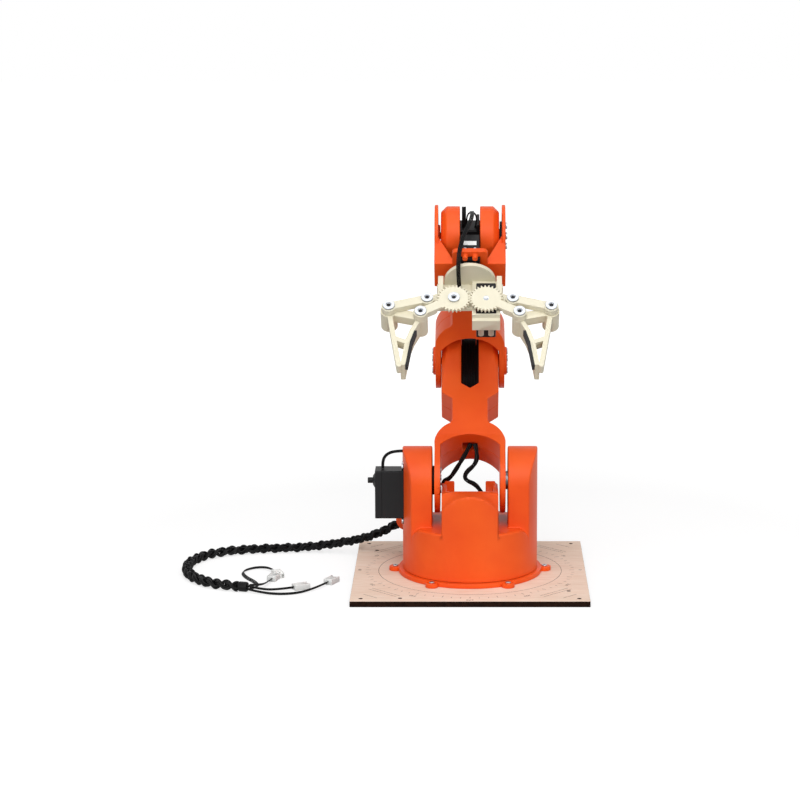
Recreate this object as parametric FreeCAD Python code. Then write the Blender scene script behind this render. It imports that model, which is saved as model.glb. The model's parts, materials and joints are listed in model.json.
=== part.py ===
import FreeCAD, Part
import math
import os

Vector = FreeCAD.Vector
Matrix = FreeCAD.Matrix

# Desktop robot arm: a turret on a square wooden plate carries two forked links, a wrist,
# a rolling hand and a gripper with two geared fingers. Six servos drive it.
# Millimetres. X to the right, Y away from the viewer, Z up. The origin is the centre of the
# plate's underside, on the axis about which the turret turns.

# Rest pose: each link's angle to the one before it, positive forward
upper_lean = -45.0
elbow_bend = 65.0
wrist_bend = 110.0

# Wooden plate
plate_side = 200.0
plate_thick = 5.0
plate_hole_inset = 9.0
plate_hole_radius = 1.7
spare_hole_reach = 7.0
spare_hole_angles = (57.0, 141.0, 237.0, 321.0)

# Fasteners and fits
screw_radius = 1.5
screw_head_radius = 2.8
screw_head_high = 1.8
pivot_radius = 2.0
pivot_head_radius = 5.0
pivot_head_high = 1.6
recess_share = 0.45
lug_screw_head = 2.4
lug_screw_head_high = 0.8
hole_play = 0.05
running_play = 0.05
seat_play = 0.2
layer_gap = 0.3

# Large servo
large_length = 42.0
large_width = 20.5
large_height = 37.0
large_shaft_inset = 10.25
large_flange_drop = 10.0
large_flange_reach = 5.6
large_shaft_radius = 3.0
large_collar_radius = 7.0

# Small servo
small_length = 31.3
small_width = 16.5
small_height = 28.6
small_shaft_inset = 8.25
small_flange_drop = 7.0
small_flange_reach = 3.2
small_shaft_radius = 2.4
small_collar_radius = 5.6

# What both servos share
servo_lid_thick = 6.0
servo_corner = 1.2
small_screw_radius = 1.0
small_screw_head = 1.5
flange_thick = 2.4
large_hole_spread = 5.0
small_hole_spread = 4.2
collar_high = 1.4
shaft_depth = 6.0
stub_collar_share = 1.6
stub_collar_high = 2.0
servo_recess = 0.5

# Horn discs between a servo shaft and the piece it drives
horn_radius = 12.5
horn_thick = 3.0
horn_hub_radius = 6.0
horn_screw_circle = 8.7
horn_screw_head = 1.0
horn_room = 0.7

# Base ring under the turret
ring_ledge = 4.0
ring_thick = 4.0
ring_floor_thick = 2.5
lug_count = 6
lug_reach = 6.5
lug_radius = 5.5
guide_wall = 1.6
guide_high = 4.0

# Turret
turret_radius = 58.0
turret_wall = 4.0
cheek_wall = 7.4
skirt_gap = 0.5
cheek_height = 45.0
back_floor_height = 40.0
cheek_round_high = 16.0
cheek_corner_in = 42.0
cheek_corner_out = 50.0
cheek_lip = 2.0
hump_side_gap = 1.6
hump_wall = 4.0
hump_corner_height = 58.4
hump_front_height = 78.6
hump_height = 79.0
hump_crown = 1.3
hump_back_height = 74.0
hump_lip = 2.0
hump_round_in = 20.0
hump_back = 19.0
prong_height = 75.0
prong_inner = 13.5
prong_outer = 22.0
drive_web_thick = 4.0
tower_gap = 2.1
tower_radius = 29.5
tower_horn_recess = 3.6
tower_inner_wall = 8.5
shoulder_height = 80.0
shoulder_pin_radius = 4.0
rear_stub_radius = 2.5
rear_stub_length = 6.5
pin_depth = 8.0
pin_inset = 0.5
pin_boss_end = 2.0

# Links: upper arm and forearm share one design
upper_length = 125.0
forearm_length = 125.0
head_wall = 6.5
head_gap = 0.6
leg_thick = 4.8
link_depth = 41.0
head_radius = 25.5
knee_drop = 45.0
upper_ear_radius = 28.0
forearm_ear_radius = 24.3
ear_taper = 34.0
arch_spring = 21.7
arch_top = 34.2
waist_half = 15.5
waist_low = 48.5
waist_high = 71.2
neck_in = 1.5
neck_drop = 2.3
bulge_out = 0.78
bulge_up = 0.62
flare_rise = 6.8
head_bevel = 5.0
slot_drop = 38.0
slot_point = 4.8
upper_slot = 15.5
forearm_slot = 17.2
channel = 13.0
link_screw_length = 30.0
link_screw_inset = 4.0
disc_thick = 2.2
screw_end_play = 0.6

# Hand bracket between the wrist and the roll servo
bracket_ear_gap = 2.4
bracket_ear_thick = 3.0
bracket_ear_radius = 26.7
bracket_web = 41.2
bracket_web_thick = 4.0
bracket_top = 14.5
bracket_boss_radius = 9.5
bracket_low = 15.0
gusset_thick = 3.5
gusset_start = 7.0
gusset_inner = 12.0
clamp_half = 15.0
clamp_rise = 3.2
clamp_corner = 4.0
peg_radius = 2.3
peg_length = 4.0

# Roll flange and gripper palm
flange_radius = 22.0
flange_disc_thick = 3.5
flange_gap = 1.0
palm_plate_low = 11.8
palm_plate_thick = 3.0
palm_wall = 4.2
palm_wall_half = 28.0
palm_wall_low = 14.0
palm_wall_high = 2.0
palm_neck = 10.0
holder_rear_high = 2.0
deck_start = 76.0
deck_half = 22.5
rail_thick = 4.5
rail_start_high = 9.0
wing_radius = 6.5
holder_wall = 3.5
holder_front_wall = 1.6
holder_low = 1.5
holder_step = 10.5
holder_lip = 1.8
post_radius = 2.6
post_drop = 8.0
grip_servo_top = 17.0
grip_lid_extra = 5.0
grip_shaft_inset = 11.3
shaft_cap_high = 0.8

# Gripper linkage, measured from the line through the two gear centres
gear_forward = 89.5
gear_teeth = 27
gear_module = 1.0
gear_backlash = 0.3
tooth_tip = 0.9
tooth_root = 1.2
pressure_angle = 20.0
gear_thick = 6.0
arm_half_width = 4.0
arm_start = 20.0
link_half_width = 4.0
pivot_boss = 6.0
finger_boss = 7.0
pivot_grip = 6.0
open_pivot_play = 2.2
inner_pivot = (41.2, 15.0)
outer_base = (35.8, 0.0)
outer_pivot = (67.7, 8.6)
finger_thick = 8.7
finger_low = 4.5
finger_wall = 4.0
pad_thick = 2.2
pad_height = 7.0
pad_top = (44.0, 30.0)
pad_bend = (47.5, 42.0)
finger_tip = (51.0, 67.0)
rib_tip_offset = 7.5

# Cable from the base, and the leads at its far end
arc_share = 0.45
cable_diameter = 8.6
gland_length = 14.0
gland_wall = 2.5
gland_foot = 9.0
cable_route = [
    (-59.5, 54.0, 35.0), (-68.0, 58.0, 30.0), (-77.0, 62.0, 24.0), (-94.0, 70.0, 15.5),
    (-118.0, 77.0, 9.0), (-148.0, 79.0, 4.7), (-180.0, 76.0, 4.5), (-208.0, 71.0, 4.5),
    (-230.0, 59.0, 4.5), (-244.0, 38.0, 4.5), (-248.0, 12.0, 4.5), (-243.0, -12.0, 4.5),
    (-230.0, -33.0, 4.5), (-212.0, -46.0, 4.5), (-196.0, -51.0, 4.5),
]
lead_diameter = 2.4
lead_offset = 1.4
tie_length = 8.0
plug_length = 14.0
plug_width = 8.0
plug_high = 5.0
plug_groove = 4.0
plug_wall = 1.0
lead_routes = [
    [(-177.0, -57.0, 3.6), (-164.0, -54.5, 2.5), (-150.0, -47.0, 2.5)],
    [(-176.0, -62.0, 2.0), (-160.0, -65.0, 1.4), (-143.0, -60.0, 1.4), (-129.0, -45.0, 2.5),
     (-122.0, -31.0, 2.5)],
    [(-178.0, -46.0, 4.4), (-174.0, -33.0, 2.5), (-171.0, -21.0, 2.5)],
    [(-179.0, -44.0, 1.6), (-184.0, -27.0, 1.4), (-195.0, -9.0, 1.4), (-199.0, 9.0, 1.4),
     (-188.0, 23.0, 1.4), (-174.0, 17.0, 2.5), (-169.0, 3.0, 2.5)],
]

# Leads along the arm: at the shoulder servo and in the upper arm's fork, with heights from the
# shoulder axis, and over the wrist in the hand's frame
arm_lead_diameter = 3.2
servo_lead_diameter = 2.6
shoulder_lead_route = [
    (-75.0, 0.0, 10.4), (-75.5, 0.0, 17.5), (-70.8, 0.0, 24.0), (-61.5, 0.0, 25.9),
    (-52.3, 0.0, 25.8),
]
back_lead_route = [
    (0.8, 22.6, 27.4), (-6.0, 20.0, 15.0), (-14.0, 22.0, 3.0), (-19.0, 25.0, -7.0),
    (-19.0, 29.5, -24.0),
]
hump_lead_route = [
    (4.4, 22.0, 27.2), (3.0, 17.5, 16.0), (3.5, 14.0, 3.5), (7.0, 10.0, -9.0),
    (11.0, 6.0, -22.0),
]
back_lead_end = (-19.0, 31.0)
hump_lead_end = (12.0, 4.5)
wrist_lead_route = [
    (-6.5, 20.0, -11.0), (-6.8, 28.0, -1.0), (-7.5, 33.0, 14.0), (-8.3, 33.5, 30.0),
    (-8.8, 32.0, 44.0), (-9.0, 25.5, 55.0), (-9.0, 12.5, 61.0), (-9.0, -1.7, 61.0),
]

# Screw lengths
yaw_screw_length = 12.0
tower_screw_length = 9.0
yaw_horn_screw_length = 6.0
roll_screw_length = 6.0


def place_of(x, y, z):
    """Matrix that moves a shape."""
    matrix = Matrix()
    matrix.move(Vector(x, y, z))
    return matrix


def turned_x(degrees):
    """Matrix that turns a shape about X, positive from up to forward."""
    matrix = Matrix()
    matrix.rotateX(math.radians(degrees))
    return matrix


def axes_of(long_way, shaft_way, origin):
    """Matrix that puts a servo's long side and shaft along two given directions."""
    x = Vector(*long_way)
    z = Vector(*shaft_way)
    y = z.cross(x)
    return Matrix(x.x, y.x, z.x, origin[0],
                  x.y, y.y, z.y, origin[1],
                  x.z, y.z, z.z, origin[2],
                  0, 0, 0, 1)


def box(low, high):
    """Box between two corners."""
    size = [b - a for a, b in zip(low, high)]
    return Part.makeBox(size[0], size[1], size[2], Vector(*low))


def rod(radius, start, end):
    """Cylinder between two points."""
    way = Vector(*end) - Vector(*start)
    return Part.makeCylinder(radius, way.Length, Vector(*start), way)


def spread(first, *others):
    """Union of shapes with their shared faces merged."""
    return first.fuse(list(others)).removeSplitter()


def without(shape, cutters):
    """Shape with each cutter taken away."""
    for cutter in cutters:
        shape = shape.cut(cutter)
    return shape


def in_plane(plane, pair):
    """Point of a drawing plane in space."""
    a, b = pair
    return {"xy": Vector(a, b, 0), "xz": Vector(a, 0, b), "yz": Vector(0, a, b)}[plane]


def outline_face(plane, start, steps):
    """Face inside a closed outline of corners, and of arcs given as (middle, end)."""
    edges = []
    here = in_plane(plane, start)
    last = steps[-1][1] if isinstance(steps[-1][0], tuple) else steps[-1]
    for step in steps + ([] if last == start else [start]):
        if isinstance(step[0], tuple):
            middle, there = in_plane(plane, step[0]), in_plane(plane, step[1])
            edges.append(Part.Arc(here, middle, there).toShape())
        else:
            there = in_plane(plane, step)
            edges.append(Part.makeLine(here, there))
        here = there
    return Part.Face(Part.Wire(edges))


def both_sides(start, steps):
    """Outline steps that go up the right side and come back down its mirror image."""
    def flip(pair):
        return (-pair[0], pair[1])
    ends = [start] + [step[1] if isinstance(step[0], tuple) else step for step in steps]
    back = [flip(ends[-1])]
    for step, end in zip(reversed(steps), reversed(ends[:-1])):
        back.append((flip(step[0]), flip(end)) if isinstance(step[0], tuple) else flip(end))
    return steps + back


def slab(plane, start, steps, low, high):
    """Outline pushed out of its plane from one level to another."""
    normal = {"xy": Vector(0, 0, 1), "xz": Vector(0, 1, 0), "yz": Vector(1, 0, 0)}[plane]
    face = outline_face(plane, start, steps)
    face.translate(normal * low)
    return face.extrude(normal * (high - low))


def screw(seat, way, length, radius=screw_radius, head=screw_head_radius, high=screw_head_high):
    """Pan head screw: underside of the head on the seat, shank pointing along the way."""
    seat = Vector(*seat)
    way = Vector(*way)
    shank = rod(radius, seat, seat + way * length)
    top = rod(head, seat, seat - way * high)
    recess = rod(head * recess_share, seat - way * high, seat - way * high * recess_share)
    return spread(shank, top).cut(recess)


def screw_hole(seat, way, length, radius=screw_radius):
    """Cutter for a screw's shank."""
    seat = Vector(*seat)
    way = Vector(*way)
    return rod(radius + hole_play, seat - way, seat + way * (length + hole_play))


def ring_of(count, radius, start=0.0):
    """Points evenly round a circle, as pairs."""
    turns = [math.radians(start + 360.0 * i / count) for i in range(count)]
    return [(radius * math.cos(turn), radius * math.sin(turn)) for turn in turns]


# Servos. In a servo's own frame the shaft is Z, the top of the case is z = 0 and the case
# is longest towards +X.
large_servo = {
    "length": large_length, "half": large_width / 2, "height": large_height,
    "inset": large_shaft_inset, "drop": large_flange_drop, "reach": large_flange_reach,
    "shaft": large_shaft_radius, "collar": large_collar_radius, "spread": large_hole_spread,
    "screw": screw_radius, "head": screw_head_radius,
}
small_servo = {
    "length": small_length, "half": small_width / 2, "height": small_height,
    "inset": small_shaft_inset, "drop": small_flange_drop, "reach": small_flange_reach,
    "shaft": small_shaft_radius, "collar": small_collar_radius, "spread": small_hole_spread,
    "screw": small_screw_radius, "head": small_screw_head,
}
grip_servo = dict(small_servo, inset=grip_shaft_inset)


def servo_block(servo, low, high, grow=0.0):
    """Box over the servo's plan between two levels."""
    return box((-servo["inset"] - grow, -servo["half"] - grow, low),
               (servo["length"] - servo["inset"] + grow, servo["half"] + grow, high))


def servo_flange(servo, grow=0.0):
    """Flange plate that carries the servo's screws."""
    return box((-servo["inset"] - servo["reach"] - grow, -servo["half"] - grow,
                -servo["drop"] - flange_thick),
               (servo["length"] - servo["inset"] + servo["reach"] + grow, servo["half"] + grow,
                -servo["drop"]))


def flange_holes(servo):
    """Centres of the four flange holes."""
    ends = (-servo["inset"] - servo["reach"] / 2,
            servo["length"] - servo["inset"] + servo["reach"] / 2)
    return [(x, y) for x in ends for y in (-servo["spread"], servo["spread"])]


def upright_edges(shape):
    """Edges of a box that run along Z."""
    return [edge for edge in shape.Edges if abs(edge.tangentAt(edge.FirstParameter).z) > 0.9]


def servo_case(servo):
    """Case with its flange, shaft collar and shaft bore."""
    body = servo_block(servo, servo_lid_thick - servo["height"], 0)
    body = body.makeFillet(servo_corner, upright_edges(body))
    collar = rod(servo["collar"], (0, 0, 0), (0, 0, collar_high))
    case = spread(body, servo_flange(servo), collar)
    level = -servo["drop"]
    holes = [screw_hole((x, y, level), (0, 0, -1), flange_thick, servo["screw"])
             for x, y in flange_holes(servo)]
    bore = rod(servo["shaft"] + running_play, (0, 0, -shaft_depth), (0, 0, collar_high + 1))
    return without(case, holes + [bore])


def servo_lid(servo, stub_radius=0.0, stub_length=0.0, extra=0.0):
    """Bottom cover, with the passive second shaft where a servo has one."""
    low = -servo["height"] - extra
    lid = servo_block(servo, low, servo_lid_thick - servo["height"])
    lid = lid.makeFillet(servo_corner, upright_edges(lid))
    if stub_radius:
        collar = Part.makeCone(servo["collar"], stub_radius * stub_collar_share, stub_collar_high,
                               Vector(0, 0, low), Vector(0, 0, -1))
        stub = rod(stub_radius, (0, 0, low), (0, 0, low - stub_length))
        lid = spread(lid, collar, stub)
    return lid


def servo_pocket(servo, through):
    """Cutter for the case and flange, open for its whole height and `through` beyond."""
    body = servo_block(servo, -servo["height"] - through, 0, seat_play)
    flange = servo_flange(servo, seat_play)
    return spread(body, flange)


def flange_room(servo, low):
    """Cutter for the flange's way in from a lower level."""
    flange = servo_flange(servo, seat_play).BoundBox
    return box((flange.XMin, flange.YMin, low), (flange.XMax, flange.YMax, flange.ZMax))


def servo_screws(servo, length):
    """Four flange screws, heads on the flange's lower side."""
    level = -servo["drop"] - flange_thick
    return [screw((x, y, level), (0, 0, 1), length, servo["screw"], servo["head"])
            for x, y in flange_holes(servo)]


def servo_screw_holes(servo, length):
    """Cutters for the flange screws in what carries the servo."""
    level = -servo["drop"] - flange_thick
    return [screw_hole((x, y, level), (0, 0, 1), length, servo["screw"])
            for x, y in flange_holes(servo)]


def horn(servo, disc_low, disc_high, disc_radius=horn_radius):
    """Drive disc with its hub and output shaft, along +Z from the servo's top."""
    shaft = rod(servo["shaft"], (0, 0, -shaft_depth + running_play), (0, 0, disc_high))
    hub = rod(horn_hub_radius, (0, 0, collar_high + layer_gap), (0, 0, disc_low + 1))
    disc = rod(disc_radius, (0, 0, disc_low), (0, 0, disc_high))
    return spread(disc, hub, shaft)


# Heights of the base, from the floor up
ring_low = plate_thick
ring_top = plate_thick + ring_thick
skirt_low = ring_top + skirt_gap
cheek_top = plate_thick + cheek_height
shoulder_z = plate_thick + shoulder_height
yaw_servo_top = plate_thick + large_height
yaw_horn_low = yaw_servo_top + collar_high + layer_gap
drive_web_low = yaw_horn_low + horn_thick

# Widths of the links, from the servo out
head_half = large_height / 2 + head_wall
servo_top_x = large_height / 2 - servo_recess
fork_in = head_half + head_gap
fork_out = fork_in + leg_thick
hump_half = fork_in - hump_side_gap
tower_in = fork_out + tower_gap
shoulder_servo_x = -(tower_in + tower_horn_recess + tower_inner_wall)
bracket_in = head_half + bracket_ear_gap
bracket_out = bracket_in + bracket_ear_thick

# Where each frame lies
yaw_servo_place = axes_of((0, -1, 0), (0, 0, 1), (0, 0, yaw_servo_top))
shoulder_servo_place = axes_of((0, 0, -1), (1, 0, 0), (shoulder_servo_x, 0, shoulder_z))
shoulder_place = place_of(0, 0, shoulder_z) * turned_x(upper_lean)
elbow_place = shoulder_place * place_of(0, 0, upper_length) * turned_x(elbow_bend)
wrist_place = elbow_place * place_of(0, 0, forearm_length) * turned_x(wrist_bend)
upper_servo_place = shoulder_place * axes_of((0, 0, -1), (1, 0, 0), (servo_top_x, 0, upper_length))
fore_servo_place = elbow_place * axes_of((0, 0, -1), (1, 0, 0), (servo_top_x, 0, forearm_length))
roll_servo_top = bracket_web + small_flange_drop
roll_servo_local = axes_of((0, 1, 0), (0, 0, 1), (0, 0, roll_servo_top))
gear_half_gap = gear_teeth * gear_module / 2
grip_servo_local = axes_of((0, 0, -1), (0, 1, 0), (gear_half_gap, grip_servo_top, gear_forward))

parts = {}


def keep(name, shapes, matrix=None):
    """Stores a node: one shape or several, moved to its place."""
    shapes = shapes if isinstance(shapes, list) else [shapes]
    if matrix is not None:
        shapes = [shape.transformed(matrix) for shape in shapes]
    solids = [solid for shape in shapes for solid in shape.Solids]
    parts[name] = solids


def lug_points():
    """Centres of the ring's screw lugs."""
    return ring_of(lug_count, turret_radius + lug_reach)


def base_plate():
    """Square plate with corner holes, lug holes and four spare holes."""
    half = plate_side / 2
    plate = box((-half, -half, 0), (half, half, plate_thick))
    corner = half - plate_hole_inset
    spots = [(x, y) for x in (-corner, corner) for y in (-corner, corner)]
    circle = half + spare_hole_reach
    for angle in spare_hole_angles:
        spots.append((circle * math.cos(math.radians(angle)), circle * math.sin(math.radians(angle))))
    cutters = [rod(plate_hole_radius, (x, y, -1), (x, y, plate_thick + 1)) for x, y in spots]
    cutters += [screw_hole((x, y, ring_top), (0, 0, -1), ring_thick + plate_thick)
                for x, y in lug_points()]
    return without(plate, cutters)


def base_ring():
    """Ring with lugs, a guide rim for the turret, and a cradle for the yaw servo."""
    ring = rod(turret_radius + ring_ledge, (0, 0, ring_low), (0, 0, ring_top))
    lugs = [rod(lug_radius, (x, y, ring_low), (x, y, ring_top)) for x, y in lug_points()]
    guide_radius = turret_radius - turret_wall - skirt_gap
    guide = rod(guide_radius, (0, 0, ring_top), (0, 0, ring_top + guide_high))
    inner = guide_radius - guide_wall
    well = rod(inner, (0, 0, ring_low + ring_floor_thick), (0, 0, ring_top + guide_high + 1))
    ring = spread(ring, guide, *lugs).cut(well)
    posts = [post.transformed(yaw_servo_place) for post in cradle_posts()]
    holes = [screw_hole((x, y, ring_top), (0, 0, -1), ring_thick) for x, y in lug_points()]
    window = servo_block(large_servo, -large_height - 1, 0, seat_play)
    holes += [hole.transformed(yaw_servo_place) for hole in yaw_screw_holes() + [window]]
    return without(spread(ring, *posts), holes)


def cradle_posts():
    """Posts from the ring's floor up to the yaw servo's flange, in the servo's frame."""
    top = -large_flange_drop - flange_thick
    low = -large_height
    near = -large_shaft_inset
    far = large_length - large_shaft_inset
    half = large_width / 2
    return [box((near - large_flange_reach, -half, low), (near - seat_play, half, top)),
            box((far + seat_play, -half, low), (far + large_flange_reach, half, top))]


def yaw_screw_holes():
    """Cutters for the yaw servo's screws, which go down into the posts."""
    level = -large_flange_drop
    return [screw_hole((x, y, level), (0, 0, -1), yaw_screw_length)
            for x, y in flange_holes(large_servo)]


def yaw_screws():
    """Yaw servo screws, heads on top of the flange."""
    level = -large_flange_drop
    return [screw((x, y, level), (0, 0, -1), yaw_screw_length)
            for x, y in flange_holes(large_servo)]


def turret_drum():
    """Round lower body: cheeks with a soft edge and rounded corners, and a lower floor behind."""
    rim = turret_radius - cheek_lip
    low = cheek_top - cheek_lip
    bend = math.radians(45)
    middle = (rim + cheek_lip * math.cos(bend), low + cheek_lip * math.sin(bend))
    face = outline_face("xz", (0, skirt_low), [
        (turret_radius, skirt_low), (turret_radius, low), (middle, (rim, cheek_top)), (0, cheek_top)])
    drum = face.revolve(Vector(0, 0, 0), Vector(0, 0, 1), 360)
    back_floor = box((-turret_radius, hump_back, plate_thick + back_floor_height),
                     (turret_radius, turret_radius, cheek_top + 1))
    return without(drum, [cheek_corner(-1), cheek_corner(1), back_floor])


def cheek_corner(side):
    """Cutter that rounds a cheek where it meets the front of a tower."""
    low = cheek_top - cheek_round_high
    bend = math.radians(45)
    across = cheek_corner_out - cheek_corner_in
    inner = (side * cheek_corner_in, cheek_top)
    middle = (side * (cheek_corner_in + across * math.sin(bend)), low + cheek_round_high * math.cos(bend))
    outer = (side * cheek_corner_out, low)
    far = side * (turret_radius + 1)
    return slab("xz", outer, [(middle, inner), (inner[0], cheek_top + 1), (far, cheek_top + 1), (far, low)],
                -turret_radius, turret_radius)


def hump_section(y, corner, crown):
    """Outline of the hump across the turret: upright sides under an arch."""
    base = cheek_top - cheek_round_high
    corners = [Vector(-hump_half, y, base), Vector(-hump_half, y, corner),
               Vector(hump_half, y, corner), Vector(hump_half, y, base)]
    arch = Part.Arc(corners[1], Vector(0, y, crown), corners[2]).toShape()
    return Part.Wire([Part.makeLine(corners[0], corners[1]), arch,
                      Part.makeLine(corners[2], corners[3]), Part.makeLine(corners[3], corners[0])])


def turret_hump():
    """Hump over the yaw servo: an arched front that flattens towards the back, and two prongs."""
    front = -turret_radius - 1
    top = plate_thick + hump_height
    back_top = plate_thick + hump_back_height
    sections = [
        hump_section(front, plate_thick + hump_corner_height, plate_thick + hump_front_height),
        hump_section(front + hump_round_in, top - hump_crown, top),
        hump_section(hump_back, back_top - hump_crown, back_top)]
    pieces = [Part.makeLoft([near, far], True, True) for near, far in zip(sections, sections[1:])]
    top = plate_thick + prong_height
    for side in (-1, 1):
        low, high = sorted((side * prong_inner, side * min(prong_outer, hump_half)))
        pieces.append(box((low, hump_back - hump_wall, cheek_top), (high, hump_back, top)))
    return pieces


def tower(side):
    """Tower beside the shoulder, round at the top, inside the turret's cylinder."""
    low, high = sorted((side * tower_in, side * (turret_radius + 1)))
    base = cheek_top - cheek_round_high
    post = box((low, -tower_radius, base), (high, tower_radius, shoulder_z))
    cap = rod(tower_radius, (low, 0, shoulder_z), (high, 0, shoulder_z))
    return spread(post, cap)


def tower_hollow():
    """Cutter that leaves walls all round the right tower."""
    low = tower_in + turret_wall
    inner = tower_radius - turret_wall
    shaft = box((low, -inner, cheek_top - turret_wall), (turret_radius, inner, shoulder_z))
    cap = rod(inner, (low, 0, shoulder_z), (turret_radius, 0, shoulder_z))
    limit = rod(turret_radius - turret_wall, (0, 0, 0), (0, 0, shoulder_z + tower_radius))
    boss_end = low + pin_depth + pin_boss_end
    boss = rod(shoulder_pin_radius * 2, (low, 0, shoulder_z), (boss_end, 0, shoulder_z))
    return spread(shaft, cap).common(limit).cut(boss)


def turret_cavities():
    """Cutters for the hollow of the drum and the hump."""
    inner = turret_radius - turret_wall
    ceiling = cheek_top - cheek_wall
    slope = turret_radius - cheek_corner_out
    drum = rod(inner, (0, 0, skirt_low - 1), (0, 0, ceiling - slope))
    crown = Part.makeCone(inner, inner - slope, slope,
                          Vector(0, 0, ceiling - slope), Vector(0, 0, 1))
    half = hump_half - hump_wall
    back = hump_back - hump_wall
    top = plate_thick + hump_height + 1
    limit = rod(inner - hump_wall, (0, 0, ceiling - 1), (0, 0, top))
    under = box((-half, -turret_radius, ceiling - 1), (half, back, drive_web_low)).common(limit)
    over_low = drive_web_low + drive_web_thick
    mouth = rod(turret_radius - hump_round_in - hump_lip, (0, 0, over_low), (0, 0, top))
    over = box((-half, -turret_radius, over_low), (half, back, top))
    return [drum, crown, under, over.common(mouth)]


def back_notch():
    """Cutter for the opening between the two prongs in the hump's back wall."""
    return box((-prong_inner, hump_back - hump_wall - 1, drive_web_low + drive_web_thick),
               (prong_inner, hump_back + 1, shoulder_z))


def shoulder_servo_cutters():
    """Cutters for the servo, its flange, its shaft and its horn in the left tower."""
    pocket = servo_pocket(large_servo, turret_radius)
    room = flange_room(large_servo, -large_height)
    shaft = rod(large_collar_radius + layer_gap, (0, 0, -1), (0, 0, tower_inner_wall + 1))
    recess = rod(horn_radius + horn_room, (0, 0, tower_inner_wall),
                 (0, 0, tower_inner_wall + tower_horn_recess + 1))
    cutters = [pocket, room, shaft, recess] + servo_screw_holes(large_servo, tower_screw_length)
    return [cutter.transformed(shoulder_servo_place) for cutter in cutters]


def from_shoulder(route):
    """Route whose heights were given from the shoulder axis."""
    return [(x, y, z + shoulder_z) for x, y, z in route]


def horn_screw_points(count=4):
    """Screw centres on a horn, as pairs."""
    return ring_of(count, horn_screw_circle, 45.0)


def turret_shell():
    """The turret: drum, hump and two towers in one moulding."""
    limit = rod(turret_radius, (0, 0, skirt_low), (0, 0, shoulder_z + tower_radius + 1))
    uppers = spread(tower(-1), tower(1), *turret_hump()).common(limit)
    shell = spread(turret_drum(), uppers)
    shell = without(shell, turret_cavities() + [tower_hollow(), back_notch()])
    shell = without(shell, shoulder_servo_cutters())
    pin_hole = rod(shoulder_pin_radius + hole_play, (tower_in - 1, 0, shoulder_z),
                   (tower_in + turret_wall + pin_depth, 0, shoulder_z))
    web_top = drive_web_low + drive_web_thick
    holes = [screw_hole((x, y, web_top), (0, 0, -1), yaw_horn_screw_length)
             for x, y in horn_screw_points()]
    lead = tube(from_shoulder(shoulder_lead_route), servo_lead_diameter + 2 * seat_play)
    return without(shell, holes + [pin_hole, lead])


def shoulder_pin():
    """Pin with a collar that carries the upper arm's right leg."""
    end = tower_in + turret_wall + pin_depth
    pin = rod(shoulder_pin_radius, (fork_in + pin_inset, 0, shoulder_z), (end, 0, shoulder_z))
    collar = rod(shoulder_pin_radius * 2, (fork_out + layer_gap, 0, shoulder_z), (tower_in, 0, shoulder_z))
    return spread(pin, collar)


def link_outline(ear_radius, length):
    """Front outline of a link: fork, rounded shoulders, narrow waist and wide head."""
    start = (fork_out, -ear_radius - 1)
    spring = (fork_out, arch_spring)
    neck = (waist_half + neck_in, waist_low - neck_drop)
    bulge = (neck[0] + (spring[0] - neck[0]) * bulge_out, spring[1] + (neck[1] - spring[1]) * bulge_up)
    steps = [spring, (bulge, neck), (waist_half, waist_low), (waist_half, waist_high),
             (head_half, waist_high + flare_rise), (head_half, length + head_radius + 1)]
    return start, both_sides(start, steps)


def link_side(ear_radius, length):
    """Side outline of a link: round ear, straight body and round head."""
    half = link_depth / 2
    knee = length - knee_drop
    return (ear_radius, 0), [
        (half, ear_taper), (half, knee), (head_radius, length),
        ((0, length + head_radius), (-head_radius, length)),
        (-half, knee), (-half, ear_taper), (-ear_radius, 0), ((0, -ear_radius), (ear_radius, 0))]


def link_solid(ear_radius, length, low, high):
    """Front or back half of a link before its openings are cut."""
    start, steps = link_outline(ear_radius, length)
    front = slab("xz", start, steps, low, high)
    side_start, side_steps = link_side(ear_radius, length)
    side = slab("yz", side_start, side_steps, -fork_out - 1, fork_out + 1)
    return front.common(side)


def wedge(corners):
    """Solid with four corners."""
    corners = [Vector(*corner) for corner in corners]
    faces = []
    for left_out in corners:
        three = [corner for corner in corners if corner is not left_out]
        faces.append(Part.Face(Part.makePolygon(three + three[:1])))
    solid = Part.Solid(Part.Shell(faces))
    return solid if solid.Volume > 0 else solid.reversed()


def head_bevels(length):
    """Cutters that bevel the outer edges of a link's round head."""
    cutters = []
    low = head_half - head_bevel
    for side in (-1, 1):
        way = Vector(side, 0, 0)
        cone = Part.makeCone(head_radius, head_radius - head_bevel, head_bevel,
                             Vector(side * low, 0, length), way)
        ring = rod(head_radius + 1, (side * low, 0, length), (side * head_half, 0, length)).cut(cone)
        reach = head_radius * 2
        above = box((-fork_out, -reach, length), (fork_out, reach, length + reach))
        cutters.append(ring.common(above))
        for face in (-1, 1):
            cutters.append(wedge([
                (side * head_half, face * link_depth / 2, length - knee_drop),
                (side * low, face * head_radius, length),
                (side * head_half, face * (head_radius - head_bevel), length),
                (side * (head_half + head_bevel), face * (head_radius + head_bevel), length)]))
    return cutters


def link_arch(ear_radius):
    """Cutter for the fork's gap, arched at the top."""
    low = -ear_radius - 2
    return slab("xz", (fork_in, low), [
        (fork_in, arch_spring), ((0, arch_top), (-fork_in, arch_spring)), (-fork_in, low)],
        -head_radius * 2, head_radius * 2)


def link_slot(width, length, back):
    """Cutter for the slot in the head, pointed at its lower end, as far as a given depth."""
    half = width / 2
    low = length - slot_drop
    top = length + head_radius + 1
    return slab("xz", (half, low), [(half, top), (-half, top), (-half, low), (0, low - slot_point)],
                -head_radius - 1, back)


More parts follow.
